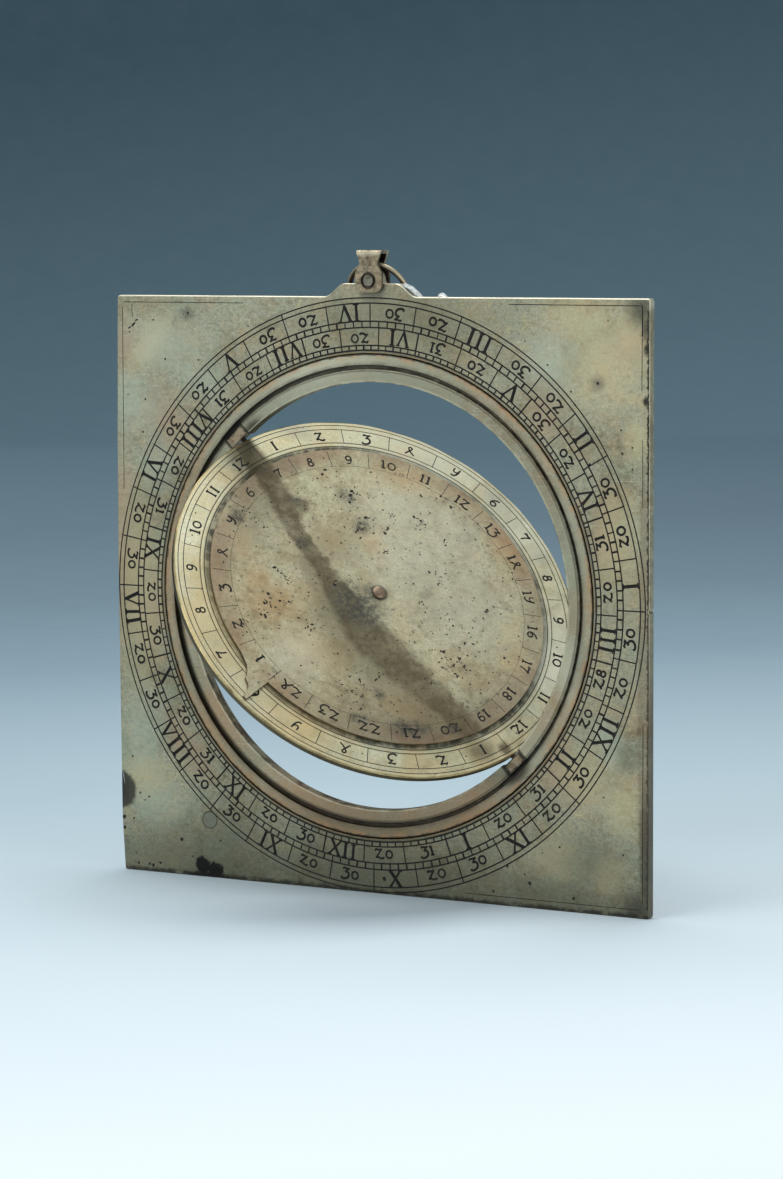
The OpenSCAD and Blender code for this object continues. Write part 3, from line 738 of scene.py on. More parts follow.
# the black spill at the foot, and the scored right edge with its two burns
SPILL = [(-40.3, -57.6, 1.75, 1.05, -20, 0.15), (-37.2, -58.3, 1.45, 1.3, 0, 0.15),
         (-38.8, -59.9, 1.1, 4.4, 0, 0.4)]
BURNS = [(60.1, 50.2, 1.15, 0.6, 0, 0.5), (59.9, 40.4, 0.9, 0.6, 0, 0.6)]
SCORE = [((60.3, 57.5), 0.26), ((60.35, 39), 0.26), ((60.5, -58), 0.34)]
# dark smudges and stains; the last spot of the second layer is a painted shadow round the strap's foot on the
# ear
PLATE_SMUDGES_AND_STRAP_SHADOW = [
    (0.78, (50, 50, 42), [(58.9, 57.9, 3, 0.9), (59.9, 54.4, 2.6, 0.4, 0, 0.8), (58.6, -58.2, 3.6),
     (60, -48, 13, 0.1, 0, 0.5)]),
    (0.55, (66, 66, 60), [(8.5, -59.5, 1.4, 2.4, 0, 0.7), (49.7, 43.7, 1.3), (-42.5, 56.4, 1.2),
     (0.35, 62.4, 3.3, 1, 0, 0.3)]),
    (0.4, (104, 84, 66), [(59.5, -20, 30, 0.045, 0, 0.3), (59.4, 12, 16, 0.05, 0, 0.4)]),
]


def plate_stains(g, at, colour, roughness):
    flat, close, plain = g.ragged(at, 5.0, 0.25), g.ragged(at, 1.6, 0.8), g.flat(at)
    wavy = g.noise(at, 0.35, 4, 0.6)
    colour = g.tint(colour, flat, PLATE_CLOUDS)
    colour = g.tint(colour, plain, PLATE_FOOT)
    colour = g.tint(colour, close, LEFT_STAIN)
    spill = g.blots(close, SPILL)
    colour = g.over(colour, (10, 11, 11), spill, 0.97)
    score = g.most(g.blots(close, BURNS), g.track(close, SCORE, 0.5))
    colour = g.over(colour, (24, 24, 20), score, g.span(wavy, 0.3, 0.5, 0.6, 0.97))
    colour = g.tint(colour, close, PLATE_SMUDGES_AND_STRAP_SHADOW)
    # a dark line along the foot, and a painted highlight along the top edge, left off the ear's foot
    foot = g.span(g.parts(close)[1], -58.7, -59.6)
    colour = g.over(colour, (30, 29, 24), foot, g.span(g.noise(at, 0.4, 4, 0.6), 0.32, 0.5), 0.85)
    x, y, _ = g.parts(plain)
    top_edge_highlight = g.times(g.span(y, 59.7, 59.85), g.span(g.math("ABSOLUTE", x), 9.6, 10.6))
    colour = g.over(colour, (236, 230, 206), top_edge_highlight, 0.75)
    # dirt round the plug and beside the opening
    plug = g.vmath("DISTANCE", plain, (*PLUG, 0))
    colour = g.over(colour, (58, 58, 46), g.span(plug, PLUG_R + 0.4, PLUG_R + 0.1), 0.85)
    ring = g.vmath("LENGTH", plain)
    dirt = g.span(ring, OPENING_R + 1.05, OPENING_R + 0.1)
    colour = g.over(colour, (44, 40, 30), dirt, g.span(wavy, 0.3, 0.6, 0.35, 1.0), 0.7)
    # a painted highlight on the bevelled edge of the opening
    opening_edge_highlight = g.span(ring, OPENING_R + 0.27, OPENING_R + 0.17)
    colour = g.over(colour, (206, 166, 116), opening_edge_highlight, g.span(wavy, 0.42, 0.55), 0.35)
    scales = g.times(g.span(ring, OPENING_R - 0.05, OPENING_R + 1.15), g.span(ring, 60.2, 59.0))
    colour = g.over(colour, (116, 108, 84), scales, 0.14)
    return colour, g.math("ADD", roughness, g.times(spill, 0.2), clamp=True)


def plate_rim_stains(g, at, colour, roughness):
    """The plate's walls: a painted highlight at the top, darker towards the foot."""
    y = g.parts(g.ragged(at, 6.0, 0.2))[1]
    colour = g.over(colour, (232, 226, 204), g.span(y, 56, 60, 0, 0.85))
    return g.over(colour, (62, 56, 44), g.span(y, 25, -45, 0, 0.8)), roughness


# the hour plate and its disc
HOUR_PITS = [(176.2, 39.5), (168, 40.1), (268.5, 39.1), (357.5, 38.6), (320.4, 39.6), (301, 39.3)]
# the pointer clockwise from its straight edge: degrees past that edge, and distance from the centre
POINTER = [(0.0, POINTER_R), (1.15, POINTER_R), (1.7, 40.6), (2.2, 39.7), (3.1, 39.05), (4.2, 38.75),
           (5.2, 38.45), (5.4, 38.05), (6.6, 37.15), (8.4, 36.25), (11.0, 35.75), (13, 35.5), (15.0, DISC_R)]
# pits of the disc, in loose clusters: middle, spread, count
PIT_CLUSTERS = [
    (-8.1, 22, 2.4, 16), (-4.6, 15.4, 2.2, 16), (1.8, 20.3, 0.8, 4), (1.2, 15.6, 0.8, 3), (0.6, 11, 1, 4),
    (9.9, 27.8, 1.5, 5), (15.2, 26.7, 1.2, 4), (22, 27.8, 1.2, 4), (8.2, 20.9, 2, 8), (12.6, 16.9, 1, 4),
    (5.9, 4.6, 1, 3), (9.4, -0.6, 1, 3), (12.8, 8.1, 1.5, 5), (14.6, -1.2, 1.2, 5), (15.2, -11.7, 2.2, 16),
    (18.7, -12.3, 1.2, 7), (17.5, -15.2, 1.5, 8), (19.8, -7, 1.2, 5), (-19.1, -1.8, 1.2, 5),
    (-18, -8.2, 1.2, 6), (-22.6, -8.2, 1.4, 7), (-22, -1.2, 1, 4), (-23.2, -11.7, 1.5, 6),
    (-13.9, -11.1, 2, 12), (-9.3, 0, 1.2, 4), (-29, 11.6, 1.2, 5), (-25, 9.3, 1.2, 4), (-4, -24.5, 2, 12),
    (1.2, -20.4, 1, 4), (11.7, -18.7, 1, 3), (28, -8.2, 1.2, 4), (22, 2.3, 1.5, 5), (-27, -16, 2, 6),
    (-3, -30.5, 2, 6), (28, 14, 2, 5), (-14, 26, 2, 5),
]


def hour_strokes():
    cuts = [circle(r, half, 0.02) for r, half in HOUR_CIRCLES]
    for k in range(24):
        cuts.append(radius(135 + 15 * k + rng.gauss(0, 0.1), HOUR_IN + 0.02, HOUR_OUT, 0.08))
    for k in range(24):
        n = k % 12 + 1
        figure = {1: "I", 11: "II"}.get(n, str(n))
        cuts += write(figure, 142.5 - 15 * (k + 1) + rng.gauss(0, 0.3), HOUR_FIGURE, True)
    cuts += [pit(*polar(r, angle), 0.2, 0.1) for angle, r in HOUR_PITS]
    for _ in range(70):
        at = polar(rng.uniform(35.9, 42.2), rng.uniform(0, 360))
        cuts.append(pit(*at, rng.uniform(0.05, 0.13), 0.05))
    return cuts


def disc_outline():
    rim = [tuple(polar(DISC_R, POINTER_ANGLE + i)) for i in range(1, 345)]
    side = [tuple(polar(r, POINTER_ANGLE - a)) for a, r in reversed(POINTER)]
    return rim + side + [tuple(polar(DISC_R, POINTER_ANGLE + 0.12))]


def disc_strokes():
    cuts = [circle(DISC_LINE_R, 0.035, 0.02)]
    for k in range(24):
        cuts.append(radius(232.5 + 15 * k + rng.gauss(0, 0.15), DISC_LINE_R, 34.9, 0.065))
    for n in range(1, 25):
        cuts += write(str(n), 240 - 15 * n + rng.gauss(0, 0.3), DISC_FIGURE, True)
    for cx, cy, spread, count in PIT_CLUSTERS:
        for _ in range(int(1.5 * count)):
            x, y = rng.gauss(cx, spread * 0.8), rng.gauss(cy, spread * 0.7)
            if 1.9 < math.hypot(x, y) < 34.4:
                half = min(0.34, 0.08 + abs(rng.gauss(0, 0.1)))
                reach = np.array((x, y)) + polar(rng.uniform(0.2, 0.55), rng.uniform(0, 360))
                cuts.append(Stroke([(x, y)] if rng.random() < 0.6 else [(x, y), reach], half, depth=0.08))
    for _ in range(560):
        at = polar(33.5 * math.sqrt(rng.uniform(0.01, 1)), rng.uniform(0, 360))
        cuts.append(pit(*at, min(0.28, rng.uniform(0.06, 0.14) + abs(rng.gauss(0, 0.045))), 0.05))
    return cuts


# the dark track that a lost arm left across the hour plate and the disc, from the upper left to the
# lower right, as points of its middle with its half width
TRACK = [((-31.4, 29.2), 1.7), ((-27.6, 24.6), 2.3), ((-24.2, 20.2), 2.7), ((-20.8, 15.4), 3.0),
         ((-18.8, 10.4), 2.0), ((-14.0, 4.6), 1.9), ((-9.8, -0.6), 2.4), ((-6.2, -5.6), 3.8),
         ((-1.8, -11.0), 4.7), ((4.8, -15.8), 4.5), ((11.0, -20.2), 3.7), ((15.8, -23.8), 3.1),
         ((20.2, -27.2), 2.5)]
DISC_CLOUDS = [
    (0.4, (192, 158, 110), [(-21, -9, 4.5, 1.4, 30), (-25, -4, 3), (-11, 9.5, 3), (29, -8, 4, 0.6),
     (-3, 12, 2.5), (8, -27, 3, 1.6), (-29, 3, 3, 0.6), (27, 20, 4), (4, 30, 3, 2),
     (-12, -18, 4, 1.5)]),
    (0.4, (206, 206, 184), [(8, 10, 10), (17, 2, 9), (14, 19, 7), (-16, -20, 5), (5, 22, 6, 1.5)]),
    (0.42, (126, 118, 94), [(-29, 9, 7, 0.6), (-25, 16, 5), (-33, 0, 6, 0.5), (-11, 8, 5, 1.2),
     (0, -33, 6, 3), (12, -31, 5, 2, 20), (23, -25, 6, 1.8, 45), (34, 6, 8, 0.4)]),
    (0.45, (88, 86, 70), [(8, -33, 5, 1.8, 12), (21, -27, 4, 1.5, 45), (-23, 27, 3, 1.6, 50)]),
]
DISC_SLATE = [
    (-4.2, -4.4, 4.8, 1.15, -25, 0.45), (-1.8, -0.8, 2.2, 1.7, 20, 0.5),
     (-16.8, 7.3, 1.4, 1, 0, 0.7), (-19.1, 17.4, 1.2, 1, 0, 0.7), (-27, 24, 1.7, 1, 0, 0.6),
     (8.2, -30.9, 2, 2, 12, 0.6), (-30.8, 9.8, 1.6, 1, 0, 0.5), (-4.6, 15.4, 1.7, 1.2, 30),
     (-8.1, 22, 1.5, 1.5, -40), (1.4, -24.5, 1.2, 1, 0, 0.8), (-22.5, 31.5, 1.1, 1.8, 50, 0.6),
     (-2.2, -31.4, 1.1, 1.6, 0, 0.7), (17, -28.5, 1, 1.5, 0, 0.7),
]
HOUR_CLOUDS = [
    (0.6, (240, 238, 214), [(38.6, -9, 6, 0.5)]),
    (0.5, (214, 216, 194), [(39, -3, 12, 0.5), (30, 26, 9), (10, 38, 9, 1.5)]),
    (0.45, (178, 163, 122), [(-27, -27, 9, 1.4, -45), (-38, -10, 7, 0.5)]),
    (0.3, (206, 176, 120), [(-36, -16, 5, 0.7, -20), (-14, -37, 5, 1.5, 10), (-34, 19, 3)]),
    (0.35, (150, 152, 146), [(34, 20, 2, 1, 0, 0.8), (24, 32, 2.4, 1.5, -40, 0.8),
     (-20, 36, 2, 2, 0, 0.8)]),
]


def disc_stains(g, at, colour, roughness):
    flat, close, plain = g.ragged(at, 3.2, 0.45), g.ragged(at, 1.6, 0.9), g.flat(at)
    colour = g.tint(colour, flat, DISC_CLOUDS)
    ring = g.vmath("LENGTH", plain)
    patch = g.span(g.noise(at, 0.07, 3, 0.5), 0.4, 0.58, 0.3, 1.0)
    colour = g.over(colour, (136, 104, 82), g.span(ring, 29.5, 34.5), patch, 0.5)
    uneven = g.span(g.noise(at, 0.35, 5, 0.65), 0.3, 0.65, 0.62, 1.0)
    lower = [((x - 0.75 * r, y - 0.75 * r), 1.1 * r) for (x, y), r in TRACK[5:]]
    colour = g.over(colour, (112, 104, 78), g.track(flat, lower, 0.75), 0.55)
    smear = g.most(g.track(flat, TRACK, 0.3), g.blot(flat, -18.2, 16.6, 1.7, 1.3, 20, 0.4))
    colour = g.over(colour, (84, 74, 51), smear, uneven, 0.88)
    dirt = g.span(g.noise(at, 1.1, 5, 0.7), 0.4, 0.6)
    slate = g.blots(close, DISC_SLATE)
    colour = g.over(colour, (58, 62, 60), slate, g.span(dirt, 0.0, 1.0, 0.35, 1.0), 0.8)
    # corrosion spots in drifts
    spots = g.span(g.cells(close, 0.62), 0.3, 0.14)
    drifts = g.span(g.noise(g.vmath("ADD", at, (3, 9, 0)), 0.14, 3, 0.6), 0.47, 0.6)
    colour = g.over(colour, (86, 84, 74), spots, drifts, 0.55)
    colour = g.over(colour, (60, 54, 42), g.span(ring, 2.1, 1.5), 0.7)
    return colour, g.math("ADD", roughness, g.times(smear, 0.14), clamp=True)


def hour_stains(g, at, colour, roughness):
    wave = g.noise(at, 0.5, 4, 0.6)
    plain, close = g.flat(at), g.ragged(at, 1.0, 0.8)
    ring = g.vmath("LENGTH", plain)
    colour = g.over(colour, (220, 206, 156), g.span(ring, 41.9, 42.2), 0.4)
    colour = g.over(colour, (44, 46, 41), g.span(ring, 37.1, 36.0), g.span(wave, 0.3, 0.6, 0.5, 1.0), 0.92)
    colour = g.over(colour, (120, 104, 70), g.span(ring, 37.15, 37.35), g.span(ring, 37.75, 37.5), 0.35)
    upper = g.track(close, [(p, 1.35 * r) for p, r in TRACK[:3]], 0.35)
    smear = g.most(upper, g.times(g.blot(close, -31.2, 25.0, 2.8, 1.3, -45, 0.8), 0.7),
                   g.times(g.blot(close, 23.5, -31.6, 2.2, 1.4, 35, 0.8), 0.8),
                   g.blot(close, 28.2, -29.6, 1.4, soft=0.7))
    colour = g.tint(colour, close, HOUR_CLOUDS)
    return g.over(colour, (78, 69, 47), smear, 0.84), roughness


def hour_rim_stains(g, at, colour, roughness):
    """Painted shade on the rim's wall below its bevel; the bevel keeps its plain tones."""
    wall_shade = g.span(g.parts(at)[2], HOUR_T / 2 - HOUR_BEVEL, HOUR_T / 2 - 1.4 * HOUR_BEVEL)
    return g.over(colour, (64, 55, 38), wall_shade, 0.8), roughness


# building the engraved pieces
PLATE_TONES = [(0.36, (106, 97, 72)), (0.45, (146, 141, 115)), (0.54, (164, 162, 139)),
               (0.64, (182, 175, 140))]
HOUR_TONES = [(0.32, (196, 186, 144)), (0.48, (214, 208, 172)), (0.62, (224, 222, 196)),
              (0.75, (226, 214, 170))]
DISC_TONES = [(0.36, (142, 132, 102)), (0.46, (179, 171, 138)), (0.55, (196, 191, 160)),
              (0.66, (204, 194, 154))]
PLATE_EDGE_TONES = [(0.3, (120, 112, 88)), (0.6, (196, 190, 160))]
# the hour plate's rim is toned darker than its face, as painted shade on its wall
HOUR_EDGE_TONES = [(0.3, (126, 108, 72)), (0.6, (196, 180, 132))]
DISC_EDGE_TONES = [(0.3, (96, 82, 58)), (0.6, (150, 132, 96))]
PLATE_BACK_TONES = [(0.34, (104, 92, 66)), (0.5, (138, 126, 96)), (0.66, (160, 148, 112))]
HOUR_BACK_TONES = [(0.34, (112, 98, 68)), (0.5, (150, 136, 100)), (0.66, (172, 158, 118))]

plate_metal = aged_gilding("plate_gilding", ON_DIAL, PLATE_TONES, (176, 156, 120), 0.2, 0.46, 0.6, 1.0,
                           plate_stains, 0.7, vary=0.5)
plate_edge = aged_gilding("plate_edge_metal", ON_DIAL, PLATE_EDGE_TONES, (150, 116, 80), 0.4, 0.4, 0.7, 0.6,
                          plate_rim_stains, 0.4)
plate_back = aged_gilding("plate_back_metal", ON_DIAL, PLATE_BACK_TONES, (150, 112, 74), 0.45, 0.46, 0.7, 1.6,
                          None, 0.7, 1.4, 21.0, 0.4)
plate_ink = black_fill("plate_ink", ON_DIAL)
hour_metal = aged_gilding("hour_gilding", ON_HOUR_FACE, HOUR_TONES, (222, 186, 120), 0.35, 0.36, 0.7, 1.0,
                          hour_stains, 0.5)
hour_edge = aged_gilding("hour_rim_gilding", ON_HOUR_FACE, HOUR_EDGE_TONES, (120, 90, 50), 0.35, 0.3, 0.85,
                         0.5, hour_rim_stains, 0.3)
hour_back = aged_gilding("hour_back_metal", ON_HOUR_FACE, HOUR_BACK_TONES, (152, 114, 72), 0.45, 0.42, 0.75,
                         1.6, None, 0.6, 1.2, 63.0, 0.35)
hour_ink = black_fill("hour_ink", ON_HOUR_FACE, -0.03)
disc_metal = aged_gilding("disc_gilding", ON_HOUR_FACE, DISC_TONES, (190, 164, 124), 0.2, 0.44, 0.6, 1.2,
                          disc_stains, 0.6)
disc_edge = aged_gilding("disc_edge_metal", ON_HOUR_FACE, DISC_EDGE_TONES, (90, 70, 48), 0.4, 0.5, 0.6, 0.5,
                         None, 0.3, 1.0, 35.0)
disc_ink = black_fill("disc_ink", ON_HOUR_FACE, 0.02)

worked_plate("square_plate", "plate", ["base_plate"], ON_DIAL, plate_strokes(), plate_outline(),
             [(0, 0, OPENING_R, 0.06), (*PLUG, PLUG_R, 0.01)], 0.0, -PLATE_T, 0.14,
             [plate_metal, plate_ink, plate_edge, plate_back])
worked_plate("hour_ring_plate", "hours", ["hour_plate"], ON_HOUR_FACE, hour_strokes(),
             [tuple(polar(HOUR_R, i)) for i in range(360)], [(0, 0, SHANK_R, 0.02)], HOUR_T / 2, -HOUR_T / 2,
             HOUR_BEVEL, [hour_metal, hour_ink, hour_edge, hour_back])
worked_plate("pointer_disc", "disc", ["hour_disc"], ON_HOUR_FACE, disc_strokes(),
             disc_outline(), [(0, 0, SHANK_R + 0.05, 0.02)], DISC_Z + DISC_T, DISC_Z, 0.06,
             [disc_metal, disc_ink, disc_edge, hour_back])


# the plain metal pieces
CARRIER_CLOUDS = [
    (0.38, (176, 138, 104), [(-36, -27, 12, 0.5, -53), (-12, -44, 9, 1.6), (-46, 4, 9, 0.35),
     (20, -42, 6, 1.5, 25)]),
    (0.45, (160, 166, 146), [(34, -30, 9, 0.8), (-20, 43, 12, 1.4, 25), (4, 46, 9, 1.6),
     (44, 12, 12, 0.3), (44, -14, 8, 0.4)]),
    (0.5, (92, 86, 68), [(0, -48.6, 7, 4, 0, 0.8), (46.8, -13, 5, 0.6, 16, 0.8)]),
    (0.5, (196, 194, 170), [(-12, 46.5, 5, 2, 15), (43, -12, 5, 0.5)]),
]
# painted shadows on the carrier beside the two pivot blocks
CARRIER_BLOCK_SHADOWS = [
    (0.86, (24, 22, 17), [(-27.4, 33, 1.7, 1.5, 42, 0.7), (32.2, -33.2, 1.7, 1.9, 42, 0.6)]),
]


def carrier_stains(g, at, colour, roughness):
    plain, flat = g.flat(at), g.ragged(at, 3.0, 0.3)
    ring = g.vmath("LENGTH", plain)
    wave = g.noise(at, 0.3, 4, 0.6)
    colour = g.tint(colour, flat, CARRIER_CLOUDS)
    colour = g.tint(colour, plain, CARRIER_BLOCK_SHADOWS)
    # a painted highlight along the inner edge
    bright = g.span(ring, CARRIER_IN_R + 0.45, CARRIER_IN_R + 0.25)
    colour = g.over(colour, (206, 200, 172), bright, g.span(wave, 0.35, 0.55), 0.4)
    shaky = g.plus(ring, g.times(g.math("SUBTRACT", g.noise(at, 0.5, 5, 0.65), 0.5), 1.1))
    # the fine line, and the dirt round the groove and in it
    colour = g.over(colour, (60, 50, 36), g.span(ring, 45.05, 45.2), g.span(ring, 45.5, 45.35), 0.5)
    grime = g.times(g.span(ring, 44.8, 46.0), g.span(ring, 47.5, 46.4))
    colour = g.over(colour, (70, 58, 40), grime, g.span(wave, 0.35, 0.65, 0.3, 1.0), 0.6)
    groove = g.times(g.span(ring, 46.62, 46.46), g.span(shaky, 45.5, 45.95))
    colour = g.over(colour, (26, 21, 14), groove, g.span(wave, 0.3, 0.6, 0.96, 0.74))
    # the flush band: warm, with a dark rim
    colour = g.over(colour, (178, 132, 88), g.span(ring, 47.3, 48.1), g.span(wave, 0.38, 0.6), 0.45)
    colour = g.over(colour, (40, 34, 24), g.span(shaky, 48.2, 48.5), 0.75)
    # painted shade along the inner edge, heaviest beside the upper block
    shade = g.most(g.span(wave, 0.6, 0.4, 0.1, 0.6), g.blot(plain, -27.5, 33.2, 7, 1.8, 42))
    colour = g.over(colour, (42, 35, 25), g.span(ring, CARRIER_IN_R + 0.17, CARRIER_IN_R + 0.05), shade)
    # painted shade in the seats of the two pivot blocks
    along, beside = g.from_axis(plain)
    seat_shade = g.times(g.span(beside, 3.0, 2.5), g.times(g.span(along, 46.9, 46.2), g.span(along, 42.0, 42.6)))
    return g.over(colour, (34, 31, 25), seat_shade, g.span(wave, 0.2, 0.6, 0.7, 0.97)), roughness


def block_stains(g, at, colour, roughness):
    """Painted shade round its sides and ends, and worn paler in patches."""
    along, beside = g.from_axis(g.flat(at))
    edge_shade = g.most(g.span(beside, 1.6, 2.1), g.span(along, 44.9, 45.3), g.span(along, 43.9, 43.5))
    colour = g.over(colour, (34, 28, 20), edge_shade, 0.88)
    return g.over(colour, (176, 160, 134), g.span(g.noise(at, 0.8, 3, 0.5), 0.45, 0.6), 0.4), roughness


def wire_stains(g, at, colour, roughness):
    """The ring's wire: a painted highlight on its outer side, painted shade on its inner side."""
    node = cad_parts["suspension_ring"]
    corners = [node.matrix_world @ Vector(corner) for corner in node.bound_box]
    middle = ON_DIAL.inverted() @ (sum(corners, Vector()) / 8 / MM)
    away = g.vmath("DISTANCE", at, tuple(middle))
    colour = g.over(colour, (22, 18, 13), g.span(away, 6.75, 6.5, 0, 0.92))
    return g.over(colour, (204, 194, 166), g.span(away, 6.7, 6.95, 0, 0.7)), roughness


def hammered(g, at, colour, roughness):
    """Dirt in the hollows of the bent strap and round its rivet, painted shade on the inner faces of the
    fold, and a painted highlight along the outside of its top.
    """
    colour = g.over(colour, (52, 44, 32), g.span(g.noise(at, 0.6, 4, 0.6), 0.5, 0.64), 0.6)
    away = g.vmath("DISTANCE", g.flat(at), (0, PLATE_H / 2 + RIVET_RISE, 0))
    colour = g.over(colour, (30, 25, 18), g.span(away, 0.95, 1.15), g.span(away, 1.95, 1.5), 0.85)
    _, y, z = g.parts(at)
    middle = g.math("ABSOLUTE", g.plus(z, PLATE_T / 2))
    # painted shade on the inner faces of the fold, below its top
    colour = g.over(colour, (24, 20, 14), g.span(middle, 1.3, 1.2), g.span(y, 68.6, 68.3), 0.9)
    # a painted highlight on the outer faces at the top
    return g.over(colour, (200, 192, 166), g.span(y, 67.6, 68.6), g.span(middle, 1.2, 1.35), 0.45), roughness


CARRIER_TONES = [(0.32, (126, 114, 88)), (0.48, (150, 142, 116)), (0.62, (166, 164, 142)),
                 (0.75, (170, 158, 124))]
BROWN_TONES = [(0.32, (84, 70, 50)), (0.5, (126, 110, 84)), (0.7, (156, 140, 108))]
PIN_TONES = [(0.32, (38, 32, 24)), (0.5, (60, 50, 36)), (0.7, (96, 82, 58))]
BACK_TONES = [(0.32, (112, 96, 68)), (0.5, (142, 128, 94)), (0.7, (164, 152, 118))]
SHACKLE_TONES = [(0.38, (92, 80, 60)), (0.5, (140, 130, 106)), (0.62, (178, 170, 142))]
COPPER_TONES = [(0.3, (112, 92, 74)), (0.6, (156, 136, 114))]
RIVET_TONES = [(0.3, (84, 82, 70)), (0.6, (128, 126, 110))]
WIRE_TONES = [(0.3, (84, 72, 54)), (0.5, (128, 116, 92)), (0.7, (172, 164, 138))]
PLUG_TONES = [(0.3, (92, 92, 78)), (0.6, (130, 130, 112))]
# the material of each node: its name, tones, warm tone and that tone's share, roughness, metal, and its marks
# with any painted light and shade
FINISHES = {
    "carrier_ring": ("carrier_metal", CARRIER_TONES, (176, 138, 98), 0.55, 0.44, 0.65, carrier_stains),
    "retaining_ring": ("retaining_metal", BACK_TONES, (150, 112, 72), 0.5, 0.48, 0.7, None),
    "upper_pivot_block": ("upper_block_metal", BROWN_TONES, (122, 100, 76), 0.4, 0.4, 0.7, block_stains),
    "lower_pivot_block": ("lower_block_metal", BROWN_TONES, (122, 100, 70), 0.4, 0.4, 0.7, block_stains),
    "upper_pivot_pin": ("upper_pin_metal", PIN_TONES, (74, 56, 36), 0.5, 0.5, 0.6, None),
    "lower_pivot_pin": ("lower_pin_metal", PIN_TONES, (74, 56, 36), 0.5, 0.5, 0.6, None),
    "centre_rivet": ("rivet_copper", COPPER_TONES, (108, 86, 70), 0.4, 0.42, 0.7, None),
    "centre_washer": ("washer_metal", BACK_TONES, (160, 120, 76), 0.4, 0.45, 0.75, None),
    "shackle": ("shackle_metal", SHACKLE_TONES, (150, 116, 86), 0.4, 0.4, 0.7, hammered),
    "shackle_rivet": ("shackle_rivet_metal", RIVET_TONES, (110, 96, 76), 0.3, 0.45, 0.6, hammered),
    "suspension_ring": ("ring_wire_metal", WIRE_TONES, (96, 70, 44), 0.5, 0.42, 0.75, wire_stains),
    "plate_plug": ("plug_metal", PLUG_TONES, (112, 104, 84), 0.3, 0.5, 0.55, None),
}
for index, (node, (name, tones, warm, share, rough, metal, stains_and_light)) in enumerate(FINISHES.items()):
    material = aged_gilding(name, ON_DIAL, tones, warm, share, rough, metal, 0.8, stains_and_light, 0.5, 1.0,
                            0.0 if stains_and_light else 7.0 * index)
    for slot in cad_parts[node].material_slots:
        slot.material = material


# the crumpled strap
WAVE_SHIFTS = ((0.3, -0.6, 0.8), (-0.7, 0.4, -0.2), (0.9, 0.1, -0.8))


def bell(value, middle, width):
    return math.exp(-((value - middle) / width) ** 2)


def climb(value, start, reach):
    return min(1.0, max(0.0, (value - start) / reach))


def wobble(point):
    """Three smooth waves at a point, the same in every run."""
    return Vector([noise.noise(point + Vector(shift)) for shift in WAVE_SHIFTS])


def crumple(name, node, body):
    """The folded strap, hammer-worked: pinched at its waist, dented outside, its inner faces left plain."""
    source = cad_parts[node]
    made = bmesh.new()
    made.from_mesh(source.data)
    for matrix in (source.matrix_world, Matrix.Scale(1 / MM, 4), ON_DIAL.inverted()):
        made.transform(matrix)
    bmesh.ops.remove_doubles(made, verts=made.verts, dist=0.002)
    for _ in range(6):
        long = [e for e in made.edges if e.calc_length() > 0.32]
        if not long:
            break
        bmesh.ops.subdivide_edges(made, edges=long, cuts=1)
        bmesh.ops.triangulate(made, faces=[f for f in made.faces if len(f.verts) > 3])
    for v in made.verts:
        x, y, z = v.co
        side = 1 if z + PLATE_T / 2 > 0 else -1
        outer = climb(abs(z + PLATE_T / 2), 1.25, 0.4)
        free = max(outer, climb(y, 68.65, 0.3))
        dent = wobble(Vector((x, y, z)) * 0.75 + Vector((3, 8, 1)))
        fine = wobble(Vector((x, y, z)) * 2.1)
        push = dent * 0.2 + fine * 0.07
        crease = bell(x + 0.5 * (y - 65), -0.6, 0.35) * bell(y, 66, 1.3)
        v.co.x = x * (1 - 0.13 * bell(y, 66.4, 1.1)) * (1 + 0.05 * bell(y, 69.2, 0.5))
        v.co.x += push.x * 0.6 * (1 if abs(x) > 1.9 else 0.0) * free
        v.co.y = y + free * min(0.0, push.y) * (1 if y > 67 else 0.3)
        v.co.z = z + free * (min(0.0, push.z * side + 0.02) - 0.14 * crease * outer) * side
    made.transform(ON_DIAL)
    made.transform(Matrix.Scale(MM, 4))
    mesh = bpy.data.meshes.new(name)
    made.to_mesh(mesh)
    made.free()
    mesh.materials.clear()
    mesh.materials.append(source.material_slots[0].material)
    dress(name, mesh, body, [node])


crumple("folded_strap", "shackle", "shackle")


# broken solder beside the ear
def crust(name, path, seed):
    """A crumbled bead along a path on the plate's top edge: (x, y, thickness)."""
    shaky = random.Random(seed)
    sides, verts, faces = 9, [], []
    for i, (x, y, r) in enumerate(path):
        for k in range(sides):
            p = polar(r * shaky.uniform(0.6, 1.25), 360 * k / sides + shaky.uniform(-9, 9))
            verts.append((x + shaky.uniform(-0.12, 0.12), y + 0.8 * p[1], -PLATE_T / 2 + 0.2 + 1.1 * p[0]))
        if i:
            for k in range(sides):
                j = (k + 1) % sides
                a, b = (i - 1) * sides, i * sides
                faces += [(a + k, a + j, b + j), (a + k, b + j, b + k)]
    faces.append(tuple(range(sides))[::-1])
    faces.append(tuple(range(len(verts) - sides, len(verts))))
    mesh = mesh_of(name, verts, faces, ON_DIAL)
    mesh.materials.append(solder)
    mesh.validate()
    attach(link(name, mesh), "plate")


solder = aged_gilding("pale_solder", ON_DIAL, [(0.35, (150, 156, 154)), (0.55, (212, 218, 216))],
                      (236, 238, 236), 0.5, 0.5, 0.25, 0.3, None, 0.3, 1.6)
crust("shoulder_solder", [(6.9, 62.35, 0.25), (7.5, 62.2, 0.55), (8.2, 61.95, 0.6), (8.9, 61.6, 0.75),
                          (9.5, 61.25, 0.6), (10.1, 60.75, 0.7), (10.7, 60.3, 0.55), (11.3, 59.95, 0.3)], 3)
crust("edge_solder", [(14.7, 59.95, 0.2), (15.2, 60.15, 0.6), (15.8, 60.2, 0.75), (16.4, 60.0, 0.55),
                      (16.9, 59.85, 0.2)], 5)

